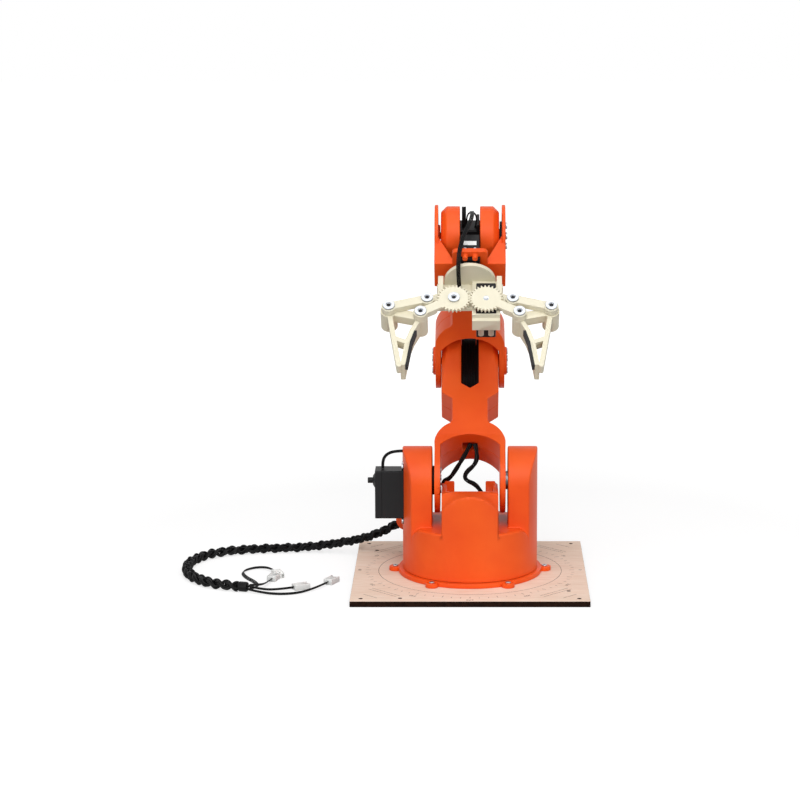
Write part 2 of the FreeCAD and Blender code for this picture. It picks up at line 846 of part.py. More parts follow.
def link_cutters(ear_radius, length, slot):
    """Everything that is cut out of both halves of a link."""
    pocket_place = axes_of((0, 0, -1), (1, 0, 0), (servo_top_x, 0, length))
    pocket = servo_pocket(large_servo, seat_play).transformed(pocket_place)
    collar = rod(large_collar_radius + layer_gap, (0, 0, length), (head_half + 1, 0, length))
    stub = rod(large_collar_radius + layer_gap, (0, 0, length), (-head_half - 1, 0, length))
    half = channel / 2
    tube_room = box((-half, -half, 0), (half, half, length - knee_drop + channel))
    screws = [screw_hole(seat, (0, -1, 0), link_screw_length) for seat in link_screw_seats()]
    return [link_arch(ear_radius), slot, pocket, collar, stub, tube_room] + screws + head_bevels(length)


def link_screw_seats():
    """Where the screws that join a link's halves sit on its back."""
    across = (waist_half + channel / 2) / 2
    levels = (waist_low + link_screw_inset, waist_high - link_screw_inset)
    return [(x, link_depth / 2, z) for x in (-across, across) for z in levels]


def ear_holes(left_radius, right_radius):
    """Cutter for the round holes through a fork's two legs."""
    left = rod(left_radius, (-fork_out - 1, 0, 0), (-fork_in + 1, 0, 0))
    right = rod(right_radius, (fork_in - 1, 0, 0), (fork_out + 1, 0, 0))
    return left.fuse(right)


def horn_screw_seats(x):
    """Horn screw seats on a face across X."""
    return [(x, y, z) for y, z in horn_screw_points()]


def link_halves(ear_radius, length, slot, other_cutters):
    """Front and back halves of a link."""
    cutters = link_cutters(ear_radius, length, slot) + other_cutters
    reach = head_radius + head_bevel
    front = link_solid(ear_radius, length, -reach, 0)
    back = link_solid(ear_radius, length, 0, reach)
    return without(front, cutters), without(back, cutters)


def hand_ear(side):
    """Side plate of the hand bracket, round about the wrist axis."""
    low, high = sorted((side * bracket_in, side * bracket_out))
    end = bracket_web + bracket_web_thick
    disc = rod(bracket_ear_radius, (low, 0, 0), (high, 0, 0))
    plate = slab("yz", (bracket_ear_radius, 0), [
        (bracket_top, gusset_start), (bracket_top, end), (-bracket_low, end), (-bracket_ear_radius, 0)],
        low, high)
    return spread(disc, plate)


def hand_gusset(side):
    """Sloping corner plate on top, from the side plate to the web."""
    end = bracket_web + bracket_web_thick
    return slab("xz", (side * bracket_out, gusset_start), [
        (side * bracket_out, end), (side * gusset_inner, end)], bracket_top - gusset_thick, bracket_top)


def hand_clamp():
    """Raised middle of the web over the roll servo's upper end, with two pegs in front."""
    front = bracket_web + bracket_web_thick
    far = small_length - small_shaft_inset
    top = far + small_flange_reach + clamp_rise
    plate = box((-clamp_half, 0, bracket_web), (clamp_half, top, front))
    corners = [edge for edge in plate.Edges
               if edge.BoundBox.ZLength > bracket_web_thick / 2 and edge.BoundBox.YMin > top / 2]
    plate = plate.makeFillet(clamp_corner, corners)
    level = far + small_flange_reach / 2
    pegs = [rod(peg_radius, (x, level, front - 1), (x, level, front + peg_length))
            for x in (-small_hole_spread, small_hole_spread)]
    return spread(plate, *pegs)


def hand_bracket():
    """Fork from the wrist to the roll servo."""
    end = bracket_web + bracket_web_thick
    web = box((-bracket_out, -bracket_low, bracket_web), (bracket_out, bracket_top, end))
    boss = rod(bracket_boss_radius, (-bracket_in, 0, 0), (-head_half - head_gap, 0, 0))
    shape = spread(hand_ear(-1), hand_ear(1), hand_gusset(-1), hand_gusset(1), web, hand_clamp(), boss)
    pocket = servo_pocket(small_servo, small_height)
    screws = servo_screw_holes(small_servo, roll_screw_length)
    room = flange_room(small_servo, -small_height)
    cutters = [cutter.transformed(roll_servo_local) for cutter in [pocket, room] + screws]
    cutters.append(rod(large_shaft_radius + running_play, (-bracket_out - 1, 0, 0), (-head_half, 0, 0)))
    cutters.append(rod(large_shaft_radius + hole_play, (head_half, 0, 0), (bracket_out + 1, 0, 0)))
    cutters += [screw_hole(seat, (-1, 0, 0), bracket_ear_thick) for seat in horn_screw_seats(bracket_out)]
    return without(shape, cutters)


flange_low = roll_servo_top + collar_high + flange_gap
flange_high = flange_low + flange_disc_thick


def roll_flange():
    """Round flange on the roll servo's shaft."""
    flange = horn(small_servo, flange_low - roll_servo_top, flange_high - roll_servo_top, flange_radius)
    return flange.transformed(place_of(0, 0, roll_servo_top))


gear_low = palm_plate_low + palm_plate_thick + layer_gap
gear_high = gear_low + gear_thick
wheel_low = grip_servo_top + collar_high + layer_gap
finger_top = gear_low - layer_gap


def spot(pair, side=1):
    """Point of the gripper's plane as an X and Z in the hand's frame."""
    return side * pair[0], gear_forward + pair[1]


def upright(radius, pair, low, high, side=1):
    """Cylinder across the gripper's plane."""
    x, z = spot(pair, side)
    return rod(radius, (x, low, z), (x, high, z))


def bar(start, end, half_width, low, high):
    """Straight bar in the gripper's plane with round ends."""
    (ax, az), (bx, bz) = spot(start), spot(end)
    length = math.hypot(bx - ax, bz - az)
    nx, nz = -(bz - az) / length * half_width, (bx - ax) / length * half_width
    body = slab("xz", (ax + nx, az + nz), [(bx + nx, bz + nz), (bx - nx, bz - nz), (ax - nx, az - nz)],
                low, high)
    return spread(body, upright(half_width, start, low, high), upright(half_width, end, low, high))


def palm_rail(side):
    """Side of the palm, from the back wall up to the deck."""
    low, high = sorted((side * deck_half, side * (deck_half + rail_thick)))
    deck_top = palm_plate_low + palm_plate_thick
    back = flange_high + palm_wall
    return slab("yz", (-palm_wall_low, flange_high), [
        (rail_start_high, flange_high), (deck_top, deck_start), (deck_top, gear_forward),
        (palm_plate_low - palm_plate_thick, gear_forward), (-palm_wall_high, back + palm_wall),
        (-palm_wall_low, back)], low, high)


def palm_holder():
    """Box round the gripper servo, low behind and stepped in front, with two short posts."""
    half = small_width / 2 + holder_wall
    low = gear_half_gap - half
    high = gear_half_gap + half
    servo_front = gear_forward + grip_shaft_inset
    front = servo_front + small_flange_reach + holder_front_wall
    deck_top = palm_plate_low + palm_plate_thick
    pieces = [box((low, -holder_low, deck_start), (high, holder_step, front)),
              box((low, holder_step, deck_start), (high, deck_top, servo_front + holder_lip)),
              box((low, -palm_wall_low, flange_high), (high, holder_rear_high, deck_start + palm_wall))]
    for side in (-1, 1):
        x = gear_half_gap + side * small_hole_spread
        z = front - post_radius
        pieces.append(rod(post_radius, (x, -holder_low - post_drop, z), (x, -holder_low, z)))
    return pieces


def palm_frame():
    """Palm: back wall, rails, deck under the gears, box for the gripper servo and two wings."""
    deck_top = palm_plate_low + palm_plate_thick
    wall = box((-palm_wall_half, -palm_wall_low, flange_high),
               (palm_wall_half, -palm_wall_high, flange_high + palm_wall))
    neck = box((-deck_half, -palm_wall_low, flange_high),
               (deck_half, -palm_wall_high, flange_high + palm_neck))
    deck = box((-deck_half, palm_plate_low, deck_start), (deck_half, deck_top, gear_forward + wing_radius))
    idle_boss = upright(pivot_boss, (gear_half_gap, 0.0), palm_plate_low, wheel_low - layer_gap, -1)
    pieces = [neck, deck, idle_boss] + palm_holder()
    for side in (-1, 1):
        pieces.append(palm_rail(side))
        pieces.append(upright(wing_radius, outer_base, palm_plate_low, deck_top, side))
        pieces.append(wing(side, palm_plate_low, deck_top))
    shape = spread(wall, *pieces)
    return without(shape, palm_cutters())


def palm_cutters():
    """Cutters for the gripper servo, its way in from below, and the pivot screws."""
    pocket = servo_pocket(grip_servo, grip_lid_extra + seat_play)
    room = flange_room(grip_servo, -small_height - grip_lid_extra)
    cutters = [cutter.transformed(grip_servo_local) for cutter in (pocket, room)]
    for side, pair in palm_pivots():
        cutters.append(upright(pivot_radius + hole_play, pair, palm_plate_low - 1, wheel_low, side))
    return cutters


def wing(side, low, high):
    """Arm of the palm plate out to the outer link's pivot."""
    x, z = spot(outer_base, side)
    inner = side * deck_half
    return slab("xz", (x, z + wing_radius), [
        (inner, gear_forward + wing_radius), (inner, gear_forward - wing_radius * 2), (x, z - wing_radius)],
        low, high)


def palm_pivots():
    """Pivots whose screws stay in the palm: the idle gear and the two outer links."""
    return [(-1, (gear_half_gap, 0.0)), (-1, outer_base), (1, outer_base)]


def pivot_screw(pair, side, length):
    """Wide headed pivot screw that drops through the gear layer."""
    x, z = spot(pair, side)
    seat = (x, gear_high + layer_gap, z)
    return screw(seat, (0, -1, 0), length, pivot_radius, pivot_head_radius, pivot_head_high)


pivot_length = gear_thick + layer_gap * 2 + palm_plate_thick


def involute(angle):
    """Involute function."""
    return math.tan(angle) - angle


def gear_points(phase):
    """Outline of a spur gear about the origin, tooth after tooth."""
    pitch = gear_half_gap
    pressure = math.radians(pressure_angle)
    base = pitch * math.cos(pressure)
    tip = pitch + tooth_tip * gear_module
    root = pitch - tooth_root * gear_module
    thick = (math.pi * gear_module / 2 - gear_backlash) / 2 / pitch + involute(pressure)
    flank = [(root, thick)]
    for radius in (base, (base + tip) / 2, tip):
        flank.append((radius, thick - involute(math.acos(min(1.0, base / radius)))))
    points = []
    for tooth in range(gear_teeth):
        centre = phase + 2 * math.pi * tooth / gear_teeth
        rising = [(r, centre - a) for r, a in flank]
        falling = [(r, centre + a) for r, a in reversed(flank)]
        points += [(r * math.cos(a), r * math.sin(a)) for r, a in rising + falling]
    return points


def gear_arm(phase):
    """Thin gear with the deeper arm that carries a finger, on the right side."""
    centre = (gear_half_gap, 0.0)
    x, z = spot(centre)
    points = [(x + a, z + b) for a, b in gear_points(phase)]
    wheel = slab("xz", points[0], points[1:], wheel_low, gear_high)
    across = inner_pivot[0] - centre[0]
    length = math.hypot(across, inner_pivot[1])
    share = arm_start / length
    start = (centre[0] + across * share, inner_pivot[1] * share)
    flat = bar(centre, inner_pivot, arm_half_width, wheel_low, gear_high)
    arm = bar(start, inner_pivot, arm_half_width, gear_low, gear_high)
    boss = upright(pivot_boss, inner_pivot, gear_low, gear_high)
    hole = upright(pivot_radius + running_play, inner_pivot, gear_low - 1, gear_high + 1)
    return spread(wheel, flat, arm, boss).cut(hole)


def outer_link():
    """Plain bar that keeps a finger's direction, on the right side."""
    link = bar(outer_base, outer_pivot, link_half_width, gear_low, gear_high)
    ends = [upright(pivot_boss, pair, gear_low, gear_high) for pair in (outer_base, outer_pivot)]
    base_hole = upright(pivot_radius + running_play, outer_base, gear_low - 1, gear_high + 1)
    tip_hole = upright(pivot_radius + hole_play, outer_pivot, gear_low - 1, gear_high + 1)
    return without(spread(link, *ends), [base_hole, tip_hole])


def shifted(pair, amount):
    """Point moved away from the middle of the gripper."""
    return (pair[0] + amount, pair[1])


def finger_blade(near, far, low, high):
    """Upright wall along the pad, between two distances from the pad's gripping face."""
    inner = [shifted(pair, near) for pair in (pad_top, pad_bend, finger_tip)]
    outer = [shifted(pair, far) for pair in (finger_tip, pad_bend, pad_top)]
    points = [spot(pair) for pair in inner + outer]
    return slab("xz", points[0], points[1:], low, high)


def finger():
    """Finger with bosses for both pivots, blade behind the pad, and outer rib."""
    wall_low = pad_thick
    wall_high = pad_thick + finger_wall
    base_low = finger_top - finger_thick
    bosses = [upright(pivot_boss, inner_pivot, -finger_low, finger_top),
              upright(finger_boss, outer_pivot, -finger_low, finger_top)]
    blade = finger_blade(wall_low, wall_high, -finger_low, finger_top)
    bridge = bar(inner_pivot, outer_pivot, arm_half_width, base_low, finger_top)
    knuckle = bar(inner_pivot, shifted(pad_top, wall_high - finger_wall / 2), finger_wall / 2,
                  -finger_low, finger_top)
    rib = bar(outer_pivot, shifted(finger_tip, rib_tip_offset), finger_wall / 2, base_low, finger_top)
    cross = bar(shifted(pad_bend, wall_high), middle_of(outer_pivot, finger_tip), finger_wall / 2,
                base_low, finger_top)
    shape = spread(blade, bridge, knuckle, rib, cross, *bosses)
    depth = finger_top - pivot_grip
    holes = [upright(pivot_radius + hole_play, inner_pivot, depth - hole_play, finger_top + 1),
             upright(pivot_radius + open_pivot_play, outer_pivot, depth - 1, finger_top + 1)]
    return without(shape, holes + [pad()])


def middle_of(first, second):
    """Point half way between two, moved out to the rib."""
    return ((first[0] + second[0] + rib_tip_offset) / 2, (first[1] + second[1]) / 2)


def pad():
    """Rubber strip on the upper part of the finger's inner face."""
    return finger_blade(0.0, pad_thick, finger_top - pad_height, finger_top)


def mirrored(shape):
    """Left hand copy of a right hand shape."""
    return shape.mirror(Vector(0, 0, 0), Vector(1, 0, 0))


def tube(points, diameter):
    """Tube of straight runs and tangent arcs as large as the runs allow, with its radii."""
    points = [Vector(*point) for point in points]
    edges = []
    radii = []
    here = points[0]
    for before, corner, after in zip(points, points[1:], points[2:]):
        arrive = (corner - before).normalize()
        leave = (after - corner).normalize()
        half_turn = arrive.getAngle(leave) / 2
        trim = arc_share * min((corner - before).Length, (after - corner).Length)
        radius = trim / math.tan(half_turn)
        start = corner - arrive * trim
        end = corner + leave * trim
        inward = (leave - arrive).normalize()
        middle = corner + inward * (radius / math.cos(half_turn) - radius)
        edges.append(Part.makeLine(here, start))
        edges.append(Part.Arc(start, middle, end).toShape())
        radii.append(radius)
        here = end
    edges.append(Part.makeLine(here, points[-1]))
    spine = Part.Wire(edges)
    ring = Part.makeCircle(diameter / 2, points[0], points[1] - points[0])
    solid = spine.makePipeShell([Part.Wire([ring])], True, False)
    section = math.pi * diameter ** 2 / 4
    print("tube of", diameter, "length", round(spine.Length, 1), "radii", [round(r, 1) for r in radii],
          "volume share", round(solid.Volume / (section * spine.Length), 4))
    return solid


def cable_way():
    """Direction in which the cable leaves its gland."""
    return (Vector(*cable_route[1]) - Vector(*cable_route[0])).normalize()


def cable_gland():
    """Outlet on the ring: a foot, a post and a sleeve round the start of the cable."""
    start = Vector(*cable_route[0])
    way = cable_way()
    outer = cable_diameter / 2 + gland_wall
    sleeve = rod(outer, start - way * gland_length, start + way * gland_wall)
    centre = start - way * (gland_length / 2)
    post = box((centre.x - gland_foot / 2, centre.y - gland_foot / 2, plate_thick),
               (centre.x + gland_foot / 2, centre.y + gland_foot / 2, centre.z))
    bore = rod(cable_diameter / 2 + hole_play, start, start + way * gland_length)
    return spread(sleeve, post).cut(bore)


def build_base():
    """Everything that stands still."""
    keep("base_plate", base_plate())
    keep("base_ring", base_ring())
    length = ring_thick + plate_thick - screw_end_play
    keep("base_ring_screws", [screw((x, y, ring_top), (0, 0, -1), length, head=lug_screw_head,
                                    high=lug_screw_head_high) for x, y in lug_points()])
    keep("yaw_servo_case", servo_case(large_servo), yaw_servo_place)
    keep("yaw_servo_lid", servo_lid(large_servo), yaw_servo_place)
    keep("yaw_servo_screws", yaw_screws(), yaw_servo_place)
    keep("cable_gland", cable_gland())


def build_turret():
    """What turns on the base."""
    keep("turret_shell", turret_shell())
    yaw_disc = (yaw_horn_low - yaw_servo_top, drive_web_low - yaw_servo_top)
    web_top = drive_web_low + drive_web_thick
    holes = [screw_hole((x, y, web_top), (0, 0, -1), yaw_horn_screw_length)
             for x, y in horn_screw_points()]
    keep("yaw_horn", without(horn(large_servo, *yaw_disc).transformed(yaw_servo_place), holes))
    keep("yaw_horn_screws", [screw((x, y, web_top), (0, 0, -1), yaw_horn_screw_length)
                             for x, y in horn_screw_points()])
    keep("shoulder_servo_case", servo_case(large_servo), shoulder_servo_place)
    lid = servo_lid(large_servo, rear_stub_radius, rear_stub_length)
    keep("shoulder_servo_lid", lid, shoulder_servo_place)
    keep("shoulder_servo_screws", servo_screws(large_servo, tower_screw_length), shoulder_servo_place)
    keep("shoulder_pin", shoulder_pin())
    keep("shoulder_lead", tube(from_shoulder(shoulder_lead_route), servo_lead_diameter))


def build_upper_arm():
    """First link and what it carries."""
    length = leg_thick + horn_thick - screw_end_play
    seats = horn_screw_seats(-fork_in)
    cutters = [screw_hole(seat, (-1, 0, 0), length) for seat in seats]
    holes = ear_holes(large_shaft_radius + hole_play, shoulder_pin_radius + running_play)
    slot = link_slot(upper_slot, upper_length, 0)
    front, back = link_halves(upper_ear_radius, upper_length, slot, cutters + [holes])
    keep("upper_arm_front", front, shoulder_place)
    keep("upper_arm_back", back, shoulder_place)
    keep("upper_arm_screws", [screw(seat, (0, -1, 0), link_screw_length) for seat in link_screw_seats()],
         shoulder_place)
    top = -fork_out - shoulder_servo_x
    disc = horn(large_servo, top - horn_thick, top)
    disc = disc.transformed(axes_of((0, 0, -1), (1, 0, 0), (shoulder_servo_x, 0, 0)))
    keep("shoulder_horn", without(disc, cutters), shoulder_place)
    keep("shoulder_horn_screws", [screw(seat, (-1, 0, 0), length, high=horn_screw_head) for seat in seats],
         shoulder_place)
    keep("elbow_servo_case", servo_case(large_servo), upper_servo_place)
    reach = fork_out + disc_thick - (large_height - servo_top_x) - screw_end_play
    keep("elbow_servo_lid", servo_lid(large_servo, large_shaft_radius, reach), upper_servo_place)
    back_end = back_lead_end + (plate_thick + back_floor_height + seat_play,)
    back_route = from_shoulder(back_lead_route) + [back_end]
    web_top = drive_web_low + drive_web_thick
    hump_route = from_shoulder(hump_lead_route) + [hump_lead_end + (web_top + layer_gap,)]
    keep("arm_leads", [tube(route, arm_lead_diameter) for route in (back_route, hump_route)])


def elbow_discs(cutters):
    """Drive disc outside the forearm's right ear, and its passive twin outside the left one."""
    far = fork_out + disc_thick
    drive = horn(large_servo, fork_out - servo_top_x, far - servo_top_x)
    drive = drive.transformed(axes_of((0, 0, -1), (1, 0, 0), (servo_top_x, 0, 0)))
    idle = spread(rod(horn_radius, (-far, 0, 0), (-fork_out, 0, 0)),
                  rod(horn_hub_radius, (-fork_out, 0, 0), (-fork_in, 0, 0)))
    bore = rod(large_shaft_radius + running_play, (-far - 1, 0, 0), (-fork_in + 1, 0, 0))
    return [without(drive, cutters), without(idle.cut(bore), cutters)]


def build_forearm():
    """Second link and what it carries."""
    far = fork_out + disc_thick
    length = disc_thick + leg_thick - screw_end_play
    right = [(seat, (-1, 0, 0)) for seat in horn_screw_seats(far)]
    left = [(seat, (1, 0, 0)) for seat in horn_screw_seats(-far)]
    cutters = [screw_hole(seat, way, length) for seat, way in left + right]
    holes = ear_holes(horn_hub_radius + hole_play, horn_hub_radius + hole_play)
    slot = link_slot(forearm_slot, forearm_length, head_radius + 1)
    front, back = link_halves(forearm_ear_radius, forearm_length, slot, cutters + [holes])
    keep("forearm_front", front, elbow_place)
    keep("forearm_back", back, elbow_place)
    keep("forearm_screws", [screw(seat, (0, -1, 0), link_screw_length) for seat in link_screw_seats()],
         elbow_place)
    keep("elbow_discs", elbow_discs(cutters), elbow_place)
    keep("elbow_disc_screws", [screw(seat, way, length, high=horn_screw_head)
                               for seat, way in left + right], elbow_place)
    keep("wrist_servo_case", servo_case(large_servo), fore_servo_place)
    reach = bracket_out - (large_height - servo_top_x) - screw_end_play
    keep("wrist_servo_lid", servo_lid(large_servo, large_shaft_radius, reach), fore_servo_place)


def build_hand():
    """Wrist fork with the roll servo, and the lead that goes over it."""
    keep("hand_bracket", hand_bracket(), wrist_place)
    disc_low = head_half + head_gap
    length = bracket_out - disc_low - screw_end_play / 2
    seats = horn_screw_seats(bracket_out)
    cutters = [screw_hole(seat, (-1, 0, 0), length) for seat in seats]
    disc = horn(large_servo, disc_low - servo_top_x, bracket_in - servo_top_x)
    disc = disc.transformed(axes_of((0, 0, -1), (1, 0, 0), (servo_top_x, 0, 0)))
    keep("wrist_horn", without(disc, cutters), wrist_place)
    keep("wrist_horn_screws", [screw(seat, (-1, 0, 0), length) for seat in seats], wrist_place)
    keep("roll_servo_case", servo_case(small_servo), wrist_place * roll_servo_local)
    keep("roll_servo_lid", servo_lid(small_servo), wrist_place * roll_servo_local)
    screws = servo_screws(small_servo, roll_screw_length)
    keep("roll_servo_screws", screws, wrist_place * roll_servo_local)
    keep("wrist_lead", tube(wrist_lead_route, servo_lead_diameter), wrist_place)


def build_palm():
    """Palm that rolls at the end of the hand."""
    keep("roll_flange", roll_flange(), wrist_place)
    keep("palm_frame", palm_frame(), wrist_place)
    keep("gripper_servo_case", servo_case(grip_servo), wrist_place * grip_servo_local)
    lid = servo_lid(grip_servo, extra=grip_lid_extra)
    keep("gripper_servo_lid", lid, wrist_place * grip_servo_local)
    screws = [pivot_screw(pair, side, pivot_length) for side, pair in palm_pivots()]
    keep("palm_pivot_screws", screws, wrist_place)


def gripper_shaft():
    """Servo shaft through the driven gear, with a small centre screw on top."""
    centre = (gear_half_gap, 0.0)
    shaft = upright(small_shaft_radius, centre, grip_servo_top - shaft_depth + running_play, gear_high)
    cap = upright(screw_radius, centre, gear_high, gear_high + shaft_cap_high)
    return spread(shaft, cap)


def build_gripper():
    """Gears, links, fingers and pads."""
    half_tooth = math.pi / gear_teeth
    centre = (gear_half_gap, 0.0)
    driven = gear_arm(math.pi + half_tooth)
    driven = driven.cut(upright(small_shaft_radius + hole_play, centre, gear_low - 1, gear_high + 1))
    idle = mirrored(gear_arm(math.pi))
    idle = idle.cut(upright(pivot_radius + running_play, centre, gear_low - 1, gear_high + 1, -1))
    keep("right_gear_arm", driven, wrist_place)
    keep("gripper_shaft", gripper_shaft(), wrist_place)
    keep("left_gear_arm", idle, wrist_place)
    reach = gear_thick + layer_gap * 2 + pivot_grip
    for name, turn in (("right", None), ("left", mirrored)):
        side = 1 if turn is None else -1
        pieces = {"link": outer_link(), "finger": finger(), "pad": pad()}
        for piece, shape in pieces.items():
            keep(name + "_" + piece, shape if turn is None else turn(shape), wrist_place)
        keep(name + "_link_screw", pivot_screw(outer_pivot, side, reach - pivot_head_high), wrist_place)
        keep(name + "_finger_screw", pivot_screw(inner_pivot, side, reach), wrist_place)


def lead_starts(tie_end, way):
    """Where four leads leave the tie, two by two."""
    aside = Vector(-way.y, way.x, 0)
    up = Vector(0, 0, 1)
    return [tie_end + aside * a + up * b
            for a in (-lead_offset, lead_offset) for b in (lead_offset, -lead_offset)]


def whole_route(start, way, route):
    """Route of a lead from just clear of the tie's face."""
    first = (Vector(*route[0]) - start).normalize()
    tilt = math.sin(first.getAngle(way))
    start = start + way * (lead_diameter / 2 * tilt + hole_play)
    return [(start.x, start.y, start.z)] + route


def build_cable():
    """Cable on the table, the tie at its end, loose leads and their plugs."""
    keep("cable_braid", tube(cable_route, cable_diameter))
    end = Vector(*cable_route[-1])
    way = (end - Vector(*cable_route[-2])).normalize()
    tie_end = end + way * tie_length
    keep("cable_tie", rod(cable_diameter / 2, end, tie_end))
    starts = lead_starts(tie_end, way)
    routes = [whole_route(start, way, route) for start, route in zip(starts, lead_routes)]
    keep("loose_leads", [tube(route, lead_diameter) for route in routes])
    keep("lead_plugs", [plug(route) for route in routes])


def plug(route):
    """Plain lead connector on the table at the end of a lead."""
    end = Vector(*route[-1])
    way = end - Vector(*route[-2])
    turn = math.degrees(math.atan2(way.y, way.x))
    half = plug_width / 2
    top = plug_high - end.z
    body = box((0, -half, -end.z), (plug_length, half, top))
    groove = box((plug_length - plug_groove, plug_wall - half, top - plug_wall),
                 (plug_length + 1, half - plug_wall, top + 1))
    body = body.cut(groove)
    body.rotate(Vector(0, 0, 0), Vector(0, 0, 1), turn)
    body.translate(end)
    return body


def main():
    build_base()
    build_turret()
    build_upper_arm()
    build_forearm()
    build_hand()
    build_palm()
    build_gripper()
    build_cable()
    os.makedirs("parts", exist_ok=True)
    for name, solids in parts.items():
        shape = solids[0] if len(solids) == 1 else Part.makeCompound(solids)
        print(name, len(solids), round(shape.Volume, 1), shape.isValid())
        shape.exportStep("parts/" + name + ".step")


main()
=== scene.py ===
# %% [markdown]
# # A desktop robot arm
# The solids of this arm come from a CAD model, in metres, with X to the right, Y away from the
# camera and Z up. This lesson dresses them. It lays the cords, softens the edges of the mouldings,
# engraves the wooden plate and gives every surface its finish.

# %% Load the solids
import json
import math

import bmesh
import bpy
from mathutils import Matrix, Vector

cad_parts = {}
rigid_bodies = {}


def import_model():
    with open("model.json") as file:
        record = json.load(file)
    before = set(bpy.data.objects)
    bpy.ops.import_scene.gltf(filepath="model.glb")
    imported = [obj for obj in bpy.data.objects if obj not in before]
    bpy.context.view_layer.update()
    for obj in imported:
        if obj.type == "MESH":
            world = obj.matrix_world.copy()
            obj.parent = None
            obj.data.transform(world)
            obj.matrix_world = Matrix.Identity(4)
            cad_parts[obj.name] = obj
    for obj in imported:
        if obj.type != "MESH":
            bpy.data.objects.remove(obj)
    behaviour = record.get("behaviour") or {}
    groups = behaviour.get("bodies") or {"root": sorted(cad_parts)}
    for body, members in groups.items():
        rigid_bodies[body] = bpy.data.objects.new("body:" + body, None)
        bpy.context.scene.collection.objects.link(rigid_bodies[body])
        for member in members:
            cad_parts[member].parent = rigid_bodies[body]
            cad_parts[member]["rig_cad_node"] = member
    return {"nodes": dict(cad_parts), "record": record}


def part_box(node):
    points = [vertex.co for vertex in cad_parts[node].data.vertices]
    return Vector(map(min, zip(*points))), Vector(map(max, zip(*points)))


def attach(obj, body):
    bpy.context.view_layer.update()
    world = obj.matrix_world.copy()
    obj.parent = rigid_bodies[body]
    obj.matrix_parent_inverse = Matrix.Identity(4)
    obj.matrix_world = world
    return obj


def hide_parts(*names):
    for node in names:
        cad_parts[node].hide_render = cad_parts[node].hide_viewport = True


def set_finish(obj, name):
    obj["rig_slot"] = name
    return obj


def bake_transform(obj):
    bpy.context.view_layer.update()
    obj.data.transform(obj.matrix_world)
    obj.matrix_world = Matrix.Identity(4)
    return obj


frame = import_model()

nodes = frame["nodes"]
node_body = {node: body for body, members in frame["record"]["behaviour"]["bodies"].items()
             for node in members}
node_slot = {row["node"]: row["material_slot"] for row in frame["record"]["subparts"]}
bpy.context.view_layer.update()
scene = bpy.context.scene

# %% [markdown]
# ## The camera
# The picture was taken from the front with a long lens, a little above the arm. The lens length,
# the distance and the tilt were worked out from the outline of the square plate. The arm stands
# right of the middle of the picture, and the lens shift moves it there without turning the camera.

# %% Camera
picture_side = 800
focal_pixels = 2508.6
arm_column = 470
camera_distance = 2.1064
camera_height = 0.5755
camera_dip = 11.28

lens = bpy.data.cameras.new("camera")
lens.sensor_width = 36
lens.lens = lens.sensor_width * focal_pixels / picture_side
lens.shift_x = (picture_side / 2 - arm_column) / picture_side
camera = bpy.data.objects.new("camera", lens)
camera.location = (0, -camera_distance, camera_height)
camera.rotation_euler = (math.radians(90 - camera_dip), 0, 0)
scene.collection.objects.link(camera)
scene.camera = camera
print("lens", round(lens.lens, 1), "mm")

# %% [markdown]
# ## How a cord is drawn
# A cord is a smooth line first and wires second. The line is a NURBS spline whose control points
# are the corners of the cord's route, so it bends softly near each corner. The spline is turned
# into points, and every wire of the cord is a thin tube that keeps its own distance from them.

# %% Lines and wires
line_steps = 24
wire_rounding = 2


def mm(points):
    """Points given in millimetres, as vectors in metres."""
    return [Vector(point) / 1000 for point in points]


def drawn_curve(kind, points, radius):
    """Mesh of a curve along points: a bare line, or a tube where there is a radius."""
    data = bpy.data.curves.new("drawn", "CURVE")
    data.dimensions = "3D"
    data.resolution_u = line_steps
    data.bevel_depth = radius
    data.bevel_resolution = wire_rounding
    data.use_fill_caps = True
    spline = data.splines.new(kind)
    spline.points.add(len(points) - 1)
    for control, point in zip(spline.points, points):
        control.co = (*point, 1)
    spline.order_u = 3
    spline.use_endpoint_u = True
    drawn = bpy.data.objects.new("drawn", data)
    scene.collection.objects.link(drawn)
    mesh = bpy.data.meshes.new_from_object(drawn)
    bpy.data.objects.remove(drawn)
    bpy.data.curves.remove(data)
    return mesh


def smooth_line(points):
    """Points along the spline of a route."""
    mesh = drawn_curve("NURBS", points, 0)
    line = [vertex.co.copy() for vertex in mesh.vertices]
    bpy.data.meshes.remove(mesh)
    return line


def across(line, up):
    """Sideways and upward directions at each point of a line."""
    pairs = []
    for before, after in zip(line[:1] + line[:-1], line[1:] + line[-1:]):
        along = (after - before).normalized()
        side = along.cross(up).normalized()
        pairs.append((side, side.cross(along)))
    return pairs


def bundle(line, places, radius, up=Vector((0, 0, 1))):
    """Bmesh of wires along one line. places(distance) gives each wire's two offsets."""
    rows = []
    distance = 0.0
    last = line[0]
    for point, (side, upward) in zip(line, across(line, up)):
        distance += (point - last).length
        rows.append([point + side * a + upward * b for a, b in places(distance)])
        last = point
    bm = bmesh.new()
    for wire in zip(*rows):
        mesh = drawn_curve("POLY", wire, radius)
        bm.from_mesh(mesh)
        bpy.data.meshes.remove(mesh)
    return bm


def length_of(line):
    """Length of a line."""
    return sum((b - a).length for a, b in zip(line, line[1:]))


print("wires are drawn with", line_steps, "steps between corners")

# %% [markdown]
# ## Making a piece
# Every new piece is a mesh whose place is in its points, so its object stays at the origin. Where a
# body is given, it rides on that body of the arm, and it belongs to one material slot. The finish
# that it gets later on has the slot's name, unless the piece names a finish of its own.

# %% Pieces
smooth_limit = math.radians(40)
own_finish = {}


